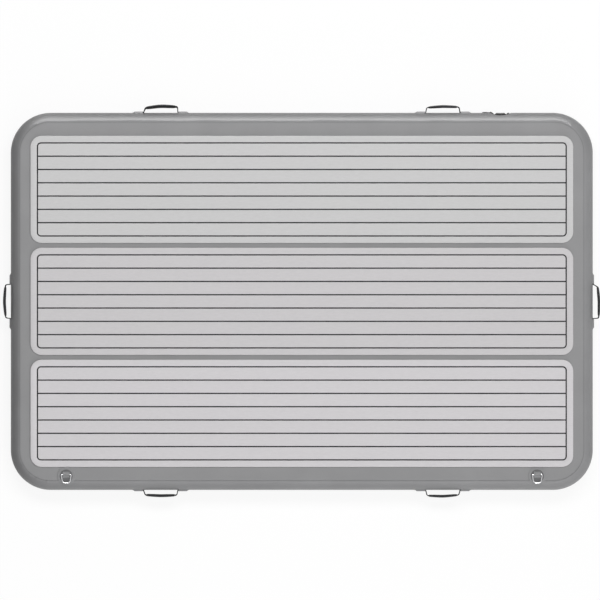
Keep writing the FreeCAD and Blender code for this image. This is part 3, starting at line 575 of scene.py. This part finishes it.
def bent_line(corners, radii, count):
    """Straight runs joined by arcs: each inner corner is cut to its radius, then spaced evenly.

    An arc is its centre plus the turn from its first to its last spoke, by the sine rule for spokes.
    """
    corners = np.array(corners, float)
    parts = [corners[:1]]
    for before, corner, after, radius in zip(corners, corners[1:], corners[2:], radii):
        back, on = before - corner, after - corner
        back, on = back / np.linalg.norm(back), on / np.linalg.norm(on)
        half = math.acos(np.clip(back @ on, -1, 1)) / 2
        middle = (back + on) / np.linalg.norm(back + on)
        centre = corner + middle * radius / math.sin(half)
        spokes = [corner + side * radius / math.tan(half) - centre for side in (back, on)]
        swing = math.pi - 2 * half
        step = np.linspace(0, 1, 16)[:, None]
        arc = (np.sin((1 - step) * swing) * spokes[0] + np.sin(step * swing) * spokes[1]) / math.sin(swing)
        parts.append(centre + arc)
    return spaced(np.concatenate([*parts, corners[-1:]]), count)


def line_length(line):
    """Distance along a flat line at each of its points."""
    return np.concatenate([[0], np.cumsum(np.hypot(*np.diff(line, axis=0).T))])


def spaced(line, count):
    """The flat line again, with evenly spaced points."""
    reach = line_length(line)
    even = np.linspace(0, reach[-1], count)
    return np.stack([np.interp(even, reach, line[:, axis]) for axis in (0, 1)], -1)


def strap_line(left, right, peak):
    """The webbing's middle line seen from above: foot, leg, loop, leg, foot."""
    half, lay = HANDLE_SPAN / 2, WEB / 2 + 0.0003
    return bent_line([
        (-half - FOOT, lay), (-half, lay), (-half + left[0], left[1]), (0, peak),
        (half - right[0], right[1]), (half, lay), (half + FOOT, lay),
    ], (FOLD_RADIUS, TOP_RADIUS, CROWN_RADIUS, TOP_RADIUS, FOLD_RADIUS), 300)


def square_to(line):
    """The direction square to a flat line at each of its points, to the left of its run."""
    heading = np.gradient(line, axis=0)
    heading /= np.linalg.norm(heading, axis=1)[:, None]
    return np.stack([-heading[:, 1], heading[:, 0]], -1)


def ribbon(line, half_width, half_thickness, columns=13):
    """A flat band on edge along a line: a flat oval section carried along it, square to the line."""
    side = np.linspace(-1, 1, columns)
    ease = np.sqrt(np.maximum(1 - np.abs(side) ** 8, 0))
    ease = np.concatenate([ease, -ease[::-1]])
    points = line[:, None] + square_to(line)[:, None] * (half_thickness * ease)[None, :, None]
    return raised(points, half_width * np.concatenate([side, side[::-1]]))


def hug_wall(points, share):
    """Points moved in toward the bulging wall, which falls away from mid height as its arc does."""
    fall = WALL_CROWN - np.sqrt(WALL_CROWN**2 - points[..., 2] ** 2)
    return np.stack([points[..., 0], points[..., 1] - fall * share, points[..., 2]], -1)


def close_ends(grid):
    """The grid with a row at each end drawn together to its middle, so that the ends are shut."""
    ends = [np.broadcast_to(row.mean(1, keepdims=True), row.shape) for row in (grid[:1], grid[-1:])]
    return np.concatenate([ends[0], grid, ends[1]])


def band_uv(along, across):
    """UV in metres for a closed band with shut ends: along it, and round its section."""
    along = np.concatenate([along[:1], along, along[-1:]])
    return np.stack(np.meshgrid(along, across, indexing="ij"), -1)


def lean_out(points, lean):
    """Points of the loop tipped about its line: the higher, the farther out, but not at the wall."""
    free = smooth(points[..., 1], 0.006, 0.018)
    return points + np.stack([0 * free, lean * free * points[..., 2], 0 * free], -1)


def make_strap(name, middle, turn, line, lean):
    """Webbing on edge along its line, its feet bent over the bulge of the wall."""
    points = lean_out(ribbon(line, WEB_WIDTH / 2, WEB / 2), lean)
    share = 1 - smooth(line[:, 1], 0.0025, 0.014)[:, None]
    points = hug_wall(points, share)
    section = np.append(points[-1, :, 2], points[-1, 0, 2])
    grid = close_ends(on_wall(points, middle, turn))
    return surface(f"{name}_webbing", grid, band_uv(line_length(line), section), (False, True))


def make_grip(name, middle, turn, line, lean):
    """Padded sleeve: flat toward the wall and bowed outside, a soft oval carried along the webbing.

    Half its thickness is the end's plus a share that swells to the middle as a flattened arch, and an
    end is drawn down to the webbing by a quarter of an ellipse. The section is a rounded oblong whose
    folded top and bottom edges stand out as a sewn ridge.
    """
    reach = line_length(line)
    centre = reach[np.argmin(np.abs(line[:, 0]))]
    along = GRIP_HALF * np.sin(np.linspace(-1, 1, 95) * np.pi / 2)
    path = np.stack([np.interp(centre + along, reach, line[:, axis]) for axis in (0, 1)], -1)
    swell = (1 - (np.abs(along) / GRIP_HALF) ** 2.4) * (GRIP_THICKNESS - GRIP_END_THICKNESS) / 2
    end = np.sqrt(1 - np.clip((np.abs(along) - GRIP_HALF) / 0.005 + 1, 0, 1) ** 2)
    thick = WEB / 2 + WEB_ROOM + (GRIP_END_THICKNESS / 2 - WEB / 2 - WEB_ROOM + swell) * end
    turns = np.linspace(0, 2 * np.pi, 56, endpoint=False)
    out = np.sign(np.sin(turns)) * np.abs(np.sin(turns)) ** 0.7
    up = np.sign(np.cos(turns)) * np.abs(np.cos(turns)) ** 0.5
    ridge = np.exp(-((1 - np.abs(np.cos(turns))) / 0.004) ** 2)
    height = GRIP_HALF_WIDTH - 0.0014 + 0.0012 * ridge
    wander = along * 2 * np.pi / CREASE_LENGTH + 3 * np.sin(along * 90)
    creases = 0.0002 * np.sin(wander)[:, None] * np.abs(up)[None] ** 3
    offset = thick[:, None] * out[None] + creases + (swell * 0.45)[:, None]
    points = path[:, None] + square_to(path)[:, None] * offset[..., None]
    points = lean_out(raised(points, (0.91 + 0.09 * end)[:, None] * (up * height)[None]), lean)
    grid = close_ends(on_wall(points, middle, turn))
    piece = surface(f"{name}_padding", grid, band_uv(along, np.linspace(0, 1, 57)), (False, True))
    puff(piece, turn)
    return piece


def mesh_points(mesh):
    """The mesh's points as rows of x, y, z."""
    points = np.empty(3 * len(mesh.vertices))
    mesh.vertices.foreach_get("co", points)
    return points.reshape(-1, 3)


def puff(piece, turn):
    """Fill the sleeve by a cloth simulation: air presses it out between its stitches.

    The stitches are pinned points along both folded edges and at the ends. It is simulated enlarged,
    then each point's move is limited to MOST_PUFF.
    """
    start = mesh_points(piece.data)
    along = start[:, 0 if turn in (0, 180) else 1]
    far = np.abs(start[:, 2] - HALF_HEIGHT)
    beside = np.abs(along - (along.min() + along.max()) / 2)
    stitched = (far > GRIP_HALF_WIDTH - 0.0006) & (np.mod(beside, STITCH_STEP) < STITCH)
    sewn = piece.vertex_groups.new(name="sewn")
    sewn.add(np.flatnonzero(stitched | (beside > GRIP_HALF - 0.0035)).tolist(), 1.0, "REPLACE")
    piece.data.vertices.foreach_set("co", (start * PUFF_SCALE).ravel())
    cloth = piece.modifiers.new("cloth", "CLOTH")
    cloth.settings.vertex_group_mass = sewn.name
    cloth.settings.mass = SLEEVE_MASS
    cloth.settings.use_pressure = True
    cloth.settings.uniform_pressure_force = AIR_PRESSURE
    cloth.settings.effector_weights.gravity = 0.0
    cloth.point_cache.frame_start, cloth.point_cache.frame_end = 1, PUFF_STEPS
    for step in range(1, PUFF_STEPS + 1):
        bpy.context.scene.frame_set(step)
    simulated = piece.evaluated_get(bpy.context.evaluated_depsgraph_get())
    move = mesh_points(simulated.data) / PUFF_SCALE - start
    piece.modifiers.remove(cloth)
    bpy.context.scene.frame_set(1)
    length = np.linalg.norm(move, axis=1, keepdims=True)
    move *= np.minimum(1, MOST_PUFF / np.maximum(length, 1e-9))
    piece.data.vertices.foreach_set("co", (start + move).ravel())
    piece.vertex_groups.remove(sewn)


def make_patches(name, middle, turn):
    """Two rounded patches draped over the feet: the wall's surface, raised where webbing lies under it.

    Rings run from a patch's middle to its edge, whose outline is eased down to the wall, and back
    under it to the middle.
    """
    outline = rounded_outline(*PATCH_HALF, [0.010] * 4, 10)
    outline = spaced(np.concatenate([outline, outline[:1]]), 133)[:-1]
    scale = np.concatenate([[0], np.linspace(0.12, 0.92, 22), [0.95, 0.975, 0.99, 1.0, 1.0, 0.6, 0]])
    full = np.concatenate([np.ones(23), [0.96, 0.85, 0.66, 0.3, -0.2, -0.2, -0.2]])
    flat = outline[:, None] * scale[None, :, None]
    foot_end = HANDLE_SPAN / 2 + FOOT
    pieces = []
    for number, side in enumerate((-1, 1)):
        x, z = side * (HANDLE_SPAN / 2 + WEB / 2 + PATCH_HALF[0]) + flat[..., 0], flat[..., 1]
        over = (1 - smooth(np.abs(z), WEB_WIDTH / 2 - 0.001, WEB_WIDTH / 2 + 0.006)) * (
            1 - smooth(np.abs(x), foot_end + 0.0015, foot_end + 0.010))
        lift = PATCH * full[None] + (WEB + WEB_ROOM) * over * (full[None] > 0)
        points = hug_wall(np.stack([x, lift, z], -1), 1.0)
        pieces.append(surface(f"{name}_patch_{number}", on_wall(points, middle, turn), closed=(True, False)))
    return joined(pieces, f"{name}_patch_pair")


def make_webbing():
    """Black woven webbing: ribs across it and threads along it, from its own UV map."""
    colour = (0.018, 0.018, 0.02)
    material, tree, shader = new_material("black_webbing", colour, 0.7, LOW_GLOSS)
    place = uv_place(tree)
    weave = maths(tree, "MULTIPLY", wave(tree, place, 290.0, "X", Distortion=0.4),
                  wave(tree, place, 420.0, "Y", Distortion=0.4))
    dress(tree, shader, colour, ramp(tree, weave, 0.0, 1.0, 0.6, 1.7), weave, (0.6, 0.0004))
    return material


def make_sleeve_cloth():
    """Black knit over foam: fine diagonal knit, soft sheen, and grey thread along the sewn ridges."""
    colour = (0.016, 0.016, 0.018)
    material, tree, shader = new_material("sleeve_cloth", colour, 0.8, LOW_GLOSS)
    shader.inputs["Sheen Weight"].default_value = 0.15
    place = uv_place(tree)
    spread = node(tree, "ShaderNodeMapping", place, Scale=(1, 0.11, 1)).outputs[0]
    knit = wave(tree, spread, 330.0, "DIAGONAL", Distortion=1.5)
    seam = line_at(tree, place, 0.25, (0.004, 0.012, 1.0, 0.0))
    sewn = maths(tree, "MULTIPLY", seam, wave(tree, place, 85.0, "X"))
    height = maths(tree, "ADD", knit, sewn)
    dress(tree, shader, colour, ramp(tree, knit, 0.0, 1.0, 0.7, 1.4), height, (0.4, 0.0003))
    cloth = shader.inputs["Base Color"].links[0].from_socket
    thread = node(tree, "ShaderNodeMix", data_type="RGBA", Factor=sewn, A=cloth, B=(0.11, 0.11, 0.115, 1))
    feed(tree, shader.inputs["Base Color"], thread.outputs["Result"])
    return material


webbing, sleeve_cloth = make_webbing(), make_sleeve_cloth()
pvc_patch = make_pvc("pvc_patch", (0.262, 0.262, 0.267), 0.5, 0.25)
for name, (middle, turn, left, right, peak, lean) in HANDLES.items():
    line = strap_line(left, right, peak)
    strap = make_strap(name, middle, turn, line, lean)
    grip = make_grip(name, middle, turn, line, lean)
    patches = make_patches(name, middle, turn)
    for piece, part, material, slot in (
            (strap, "strap", webbing, "webbing"), (grip, "grip", sleeve_cloth, "grip"),
            (patches, "patches", pvc_patch, "pvc_patch")):
        piece.data.materials.append(material)
        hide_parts(f"{name}_{part}")
        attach(piece, "dock")

# D-rings: a bent and welded stainless ring in a fabric sleeve, between two round PVC patches that are
# glued over the shoulder near each front corner. The ring swings freely on its bar.
RING_X = 1.01
DISC_MIDDLE, BAR_MIDDLE = -0.749, -0.743
BAR_HEIGHT, SLEEVE_HALF = 0.1559, 0.015
BASE_RADIUS, COVER_RADIUS = 0.039, 0.028
SUNK = 0.0004


def over_edge(reach, lift):
    """Distance out from the flat's edge, and height, of the skin at this reach past that edge.

    Reach is measured along the skin. It turns the shoulder's arc first, then the wall's, and lift
    raises the place square to the skin.
    """
    shoulder = SHOULDER * (math.pi / 2 - LEAN)
    on_shoulder, on_crown = math.pi / 2 - np.maximum(reach, 0) / SHOULDER, LEAN - (reach - shoulder) / CROWN
    tilt = np.where(reach < shoulder, on_shoulder, on_crown)
    out, up = wall_section(tilt)
    out = np.where(reach < 0, reach, out)
    return out + lift * np.cos(tilt), HALF_HEIGHT + up + lift * np.sin(tilt)


def on_front(x, y, lift):
    """Points at x, and at y measured along the skin, laid over the front edge."""
    flat_edge = HALF_WIDTH - FLAT_INSET
    out, z = over_edge(-flat_edge - y, lift)
    return np.stack([np.broadcast_to(x, out.shape), -flat_edge - out, z], -1)


def make_disc(name, x, radius, low):
    """A round patch laid over the shoulder, its edge eased down to what it is glued to."""
    turns = np.linspace(0, 2 * np.pi, 96, endpoint=False)
    scale = np.concatenate([[0], np.linspace(0.08, 0.95, 20), [0.975, 0.99, 1.0, 1.0, 0.5, 0]])
    level = np.concatenate([np.full(21, 1.0), [0.92, 0.7, 0.35, 0, 0, 0]])
    px = x + radius * np.cos(turns)[:, None] * scale[None]
    py = DISC_MIDDLE + radius * np.sin(turns)[:, None] * scale[None]
    lift = low - SUNK + (PATCH + SUNK) * level[None] + 0 * py
    return surface(name, on_front(px, py, lift), closed=(True, False))


def make_sleeve(name, x):
    """The fold of fabric over the bar: a loop with two flanges glued down, carried along the bar.

    The outside runs along one flange, round the bar and along the other, and the inside runs back one
    thickness below it.
    """
    under, thick, radius = 0.0029, 0.0011, 0.0040
    core = np.array([0, BAR_HEIGHT - 2 * HALF_HEIGHT - under])
    arc = np.radians(np.linspace(200, -20, 23))[1:-1]
    loop = core + radius * np.stack([np.cos(arc), np.sin(arc)], -1)
    flange = np.stack([
        np.array([-0.0128, -0.0126, -0.0118, -0.0100, -0.0080, -0.0062, -0.0050, -0.0044]),
        np.array([0.0002, 0.0008, 0.0011, 0.0011, 0.0011, 0.0012, 0.0015, 0.0021]),
    ], -1)
    outer = np.concatenate([flange, loop, flange[::-1] * (-1, 1)])
    low = flange * (0.98, 0) - (0, 0.0003)
    inner = np.concatenate([low, (loop - core) * (1 - thick / radius) + core, low[::-1] * (-1, 1)])[::-1]
    section = np.concatenate([outer, inner])
    along = SLEEVE_HALF * np.sin(np.linspace(-1, 1, 15) * np.pi / 2)
    py = np.broadcast_to(BAR_MIDDLE + section[None, :, 0], (len(along), len(section)))
    lift = np.broadcast_to(under + section[None, :, 1], py.shape)
    return surface(name, close_ends(on_front((x + along)[:, None], py, lift)), closed=(False, True))


def make_steel():
    """Polished stainless steel with faint drawing marks."""
    material, tree, shader = new_material("polished_steel", (0.5, 0.5, 0.51), 0.3)
    shader.inputs["Metallic"].default_value = 1.0
    marks = noise(tree, object_place(tree), 700.0, 3.0)
    feed(tree, shader.inputs["Roughness"], ramp(tree, marks, 0.0, 1.0, 0.26, 0.42))
    return material


steel = make_steel()
# The cover disc is a darker grey than the other patches: partly its own tone, partly painted shade from the
# ring lying over it.
cover_pvc_with_painted_shade = make_pvc("cover_pvc_with_painted_shade", (0.15, 0.15, 0.154), 0.5, 0.25)
for name, x in (("left_d_ring", -RING_X), ("right_d_ring", RING_X)):
    base = make_disc(f"{name}_base_disc", x, BASE_RADIUS, TAPE)
    cover = make_disc(f"{name}_cover_disc", x, COVER_RADIUS, TAPE + PATCH)
    sleeve = make_sleeve(f"{name}_sleeve", x)
    for piece, material in ((base, pvc_patch), (cover, cover_pvc_with_painted_shade), (sleeve, pvc_patch)):
        piece.data.materials.append(material)
        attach(piece, "dock")
    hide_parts(f"{name}_base_patch")
    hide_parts(f"{name}_sleeve_patch")
    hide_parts(f"{name}_sleeve_patch")
    refinish(name, steel)

# Inflation valve: moulded plastic, screwed together through the wall, in the drawn-in recess. Its cap
# turns off the collar and hangs on a flexible leash.


def make_moulded_face():
    """Finely eroded moulding: Height is fine noise, and Tint is that brought near one."""
    group, given = new_group("moulded_face", Grain=1400.0)
    height = noise(group, object_place(group), given["Grain"], 2.0)
    return end_group(group, height, ramp(group, height, 0.0, 1.0, 0.92, 1.08))


moulded_face = make_moulded_face()


def make_plastic(name, colour, roughness, gloss):
    """Moulded plastic or rubber."""
    return grained(name, colour, roughness, gloss, moulded_face, (0.15, 0.0001))


plastic_dark = make_plastic("valve_plastic", (0.035, 0.035, 0.037), 0.35, 0.3)
plastic_light = make_plastic("cap_plastic", (0.09, 0.09, 0.092), 0.32, 0.25)
rubber = make_plastic("valve_rubber", (0.025, 0.025, 0.025), 0.6, 0.1)
for material, parts in ((plastic_dark, ("body", "nut")), (plastic_light, ("stem", "cap")),
                        (rubber, ("gasket", "diaphragm", "cap_seal"))):
    for part in parts:
        refinish(f"valve_{part}", material)


def at_valve(points):
    """Points with x along the wall, y up and z out along the valve's axis, put where the valve is."""
    return np.stack([VALVE_X + points[..., 0], VALVE_Y + points[..., 2], HALF_HEIGHT + points[..., 1]], -1)


SPRING_FOOT, SPRING_LENGTH, SPRING_RADIUS, SPRING_WIRE = -0.01295, 0.0169, 0.00375, 0.0009
SPRING_TURNS = 6


def make_spring():
    """Round wire wound six times from the guide up to the stem's head, its first and last turns closed.

    The wire's circle is carried round the axis and raised by a share of the length: by one thickness
    in an end turn, and evenly between.
    """
    turns = np.linspace(0, SPRING_TURNS, 217)
    levels = [0, SPRING_WIRE, SPRING_LENGTH - 2 * SPRING_WIRE, SPRING_LENGTH - SPRING_WIRE]
    rise = np.interp(turns, [0, 1, SPRING_TURNS - 1, SPRING_TURNS], levels)
    around = np.linspace(0, 2 * np.pi, 10, endpoint=False)
    radius = SPRING_RADIUS + SPRING_WIRE / 2 * np.cos(around)[None]
    angle = 2 * np.pi * turns[:, None]
    level = SPRING_FOOT + rise[:, None] + SPRING_WIRE / 2 * (1 + np.sin(around)[None])
    wire = np.stack([radius * np.cos(angle), radius * np.sin(angle), level], -1)
    return surface("valve_spring_coil", close_ends(at_valve(wire)), closed=(False, True))


spring = make_spring()
spring.data.materials.append(steel)
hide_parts("valve_spring")
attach(spring, "dock")
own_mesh(spring)

LEASH = 0.0024
LEASH_RING = (0.0223, 0.0263)
LEASH_LEVEL, LEASH_LAY = 0.0072, 0.0163
LEASH_ROOT, TAB_END, PULL_END = 0.0245, 0.078, 0.0385
STRIP_HALF_WIDTH, PULL_HALF_WIDTH, LEASH_DOME = 0.004, 0.005, 0.0009
STRIP_TWIST, PULL_TWIST = 0.9, 0.55


def round_end(distance, start, depth):
    """A band's share of its width where a half ellipse of this depth ends it from the start on."""
    return np.sqrt(np.clip(1 - (np.maximum(distance - start, 0) / depth) ** 2, 0, 1))


def make_leash():
    """Ring in the cap's groove, a strip over the recess's lip to a tab on the wall, and a pull tab.

    The ring is a rounded section turned once. The strip and the pull tab are bands along bent lines,
    and the strip widens to its tab as a half ellipse ends it. Clear of the ring and of the wall both
    bands are twisted, so that their outer faces turn up.
    """
    turns = np.linspace(0, 2 * np.pi, 96, endpoint=False)
    corner = np.linspace(0, 2 * np.pi, 16, endpoint=False)
    across = np.sign(np.cos(corner)) * np.abs(np.cos(corner)) ** 0.4
    up = np.sign(np.sin(corner)) * np.abs(np.sin(corner)) ** 0.4
    radius = sum(LEASH_RING) / 2 + (LEASH_RING[1] - LEASH_RING[0]) / 2 * across
    flat = radius[None, :, None] * np.stack([np.cos(turns), np.sin(turns)], -1)[:, None]
    ring = raised(flat, LEASH_LEVEL + LEASH / 2 * (1 + up))
    half = LEASH / 2
    level, lay = LEASH_LEVEL + half, LEASH_LAY + half
    strip = bent_line([(-TAB_END, lay), (-0.0415, lay), (-0.0280, level), (-LEASH_ROOT, level)],
                      (0.006, 0.004), 90)
    away = -strip[:, 0]
    tab = smooth(away, 0.057, 0.061)
    end = round_end(away, 0.070, 0.0081)
    free = smooth(away, 0.0265, 0.031) * (1 - smooth(away, 0.040, 0.047))
    pull = bent_line([(LEASH_ROOT, level), (0.0262, level), (0.0300, 0.0122), (PULL_END, 0.0134)],
                     (0.002, 0.005), 40)
    pull_end = round_end(pull[:, 0], 0.0345, 0.0041)
    pull_free = smooth(pull[:, 0], 0.0262, 0.030)
    pieces = [surface("leash_ring", at_valve(ring), closed=(True, True))]
    bands = (
        (strip, STRIP_HALF_WIDTH * (1 + tab) * end, STRIP_TWIST * free),
        (pull, PULL_HALF_WIDTH * pull_end, PULL_TWIST * pull_free),
    )
    for number, (line, width, twist) in enumerate(bands):
        band = ribbon(line, 1.0, half, 15)
        domed = band[..., 1] > line[:, None, 1]
        wide = smooth(width, 0.0035, 0.005)[:, None]
        band[..., 1] += LEASH_DOME * domed * wide * (1 - band[..., 2] ** 2)
        band[..., 2] *= np.maximum(width, 0.0004)[:, None]
        band[..., 1] -= twist[:, None] * band[..., 2]
        band = close_ends(at_valve(band[..., [0, 2, 1]]))
        pieces.append(surface(f"leash_band_{number}", band, closed=(False, True)))
    return joined(pieces, "valve_cap_leash_strip")


leash = make_leash()
leash.data.materials.append(rubber)
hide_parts("valve_cap_leash")
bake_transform(leash)

# Studio: a floor and a sky that show white behind the dock but light it greyly, and less from the left
# and from behind. Three soft lamps light it, and a low strip behind shows only in what is glossy. The
# camera looks straight down.
FRAME_WIDTH = 600 * 0.004296
CAMERA_X, CAMERA_Y, CAMERA_HEIGHT = -0.0077, 0.006, 40.0
FLOOR, FLOOR_HALF = -0.001, 30
SHADOW_SHARE = 0.12
SKY_STRENGTH = 0.87
WHITE = (1, 1, 1, 1)


def seen_directly(tree):
    """One for the rays that show the background: the camera's, and those that metal or glass sends on."""
    path = node(tree, "ShaderNodeLightPath").outputs
    shown = path["Is Camera Ray"]
    for kind in ("Is Glossy Ray", "Is Transmission Ray"):
        shown = maths(tree, "MAXIMUM", shown, path[kind])
    return shown


def graded(tree, place, **ways):
    """A grey that is the product of S-curved ramps, each along one axis of the place given."""
    parts = node(tree, "ShaderNodeSeparateXYZ", place).outputs
    level = 1.0
    for way, limits in ways.items():
        level = maths(tree, "MULTIPLY", level, ramp(tree, parts[way], *limits, "SMOOTHSTEP"))
    return level


def show_instead(tree, lighting, shown, output):
    """Put out one shader for lighting, and the other for the rays that show the background."""
    chosen = node(tree, "ShaderNodeMixShader", seen_directly(tree), lighting.outputs[0], shown.outputs[0])
    feed(tree, tree.nodes[output].inputs["Surface"], chosen.outputs[0])


def make_floor_paint():
    """Paint that lights the dock from below, less at the left and behind, seen white with a faint shadow."""
    paint, tree, shader = new_material("floor_paint", (0.45, 0.45, 0.45), 1.0)
    grey = graded(tree, object_place(tree), X=(-1.6, 0.2, 0.04, 0.5), Y=(0.3, 1.2, 1.0, 0.15))
    feed(tree, shader.inputs["Base Color"], grey)
    white = node(tree, "ShaderNodeEmission", WHITE, 1.0)
    bright = node(tree, "ShaderNodeBsdfDiffuse", (0.97, 0.97, 0.97, 1))
    shown = node(tree, "ShaderNodeMixShader", 1 - SHADOW_SHARE, bright.outputs[0], white.outputs[0])
    show_instead(tree, shader, shown, "Material Output")
    return paint


floor_mesh = bpy.data.meshes.new("floor")
floor_corners = [(x * FLOOR_HALF, y * FLOOR_HALF, FLOOR) for x, y in ((-1, -1), (1, -1), (1, 1), (-1, 1))]
floor_mesh.from_pydata(floor_corners, [], [(0, 1, 2, 3)])
floor = bpy.data.objects.new("floor", floor_mesh)
bpy.context.scene.collection.objects.link(floor)
floor.data.materials.append(make_floor_paint())


def make_sky():
    """White to look at, and for lighting a grey that rises to overhead, dark low at left, dim at the back."""
    world = bpy.data.worlds.new("sky")
    world.use_nodes = True
    tree = world.node_tree
    place = node(tree, "ShaderNodeTexCoord").outputs["Generated"]
    level = graded(tree, place, Z=(0.0, 1.0, 0.75, 1.05), X=(-0.6, 0.2, 0.12, 1.0), Y=(0.0, 0.5, 1.0, 0.1))
    grey = tree.nodes["Background"]
    feed(tree, grey.inputs["Color"], level)
    grey.inputs["Strength"].default_value = SKY_STRENGTH
    show_instead(tree, grey, node(tree, "ShaderNodeBackground", WHITE, 1.0), "World Output")
    return world


bpy.context.scene.world = make_sky()


def add_lamp(name, place, aim, width, depth, power):
    """A soft box at place that faces aim."""
    lamp = bpy.data.lights.new(name, "AREA")
    lamp.shape = "RECTANGLE"
    lamp.size, lamp.size_y, lamp.energy = width, depth, power
    holder = bpy.data.objects.new(name, lamp)
    bpy.context.scene.collection.objects.link(holder)
    away = np.array(place) - np.array(aim)
    holder.location = place
    tip, turn = math.atan2(math.hypot(away[0], away[1]), away[2]), math.atan2(away[0], -away[1])
    holder.rotation_euler = (tip, 0, turn)
    return holder


add_lamp("high_light", (0.5, 4.4, 8.6), (0, 0, 0), 8.0, 2.5, 640)
add_lamp("low_light", (0.0, 9.0, 0.9), (0, 0, 0), 8.0, 0.5, 20)
add_lamp("front_light", (1.5, -7.0, 2.0), (0, 0, 0), 6.0, 1.5, 175)
backdrop_glow = add_lamp("backdrop_glow", (0.0, 6.0, 0.7), (0, 0, 0.1), 8.0, 0.4, 1500)
backdrop_glow.visible_diffuse = False

camera = bpy.data.cameras.new("camera")
camera.lens = camera.sensor_width * CAMERA_HEIGHT / FRAME_WIDTH
camera.clip_end = 100
view = bpy.data.objects.new("camera", camera)
view.location = (CAMERA_X, CAMERA_Y, CAMERA_HEIGHT + HALF_HEIGHT)
bpy.context.scene.collection.objects.link(view)
bpy.context.scene.camera = view
bpy.context.scene.view_settings.view_transform = "Standard"
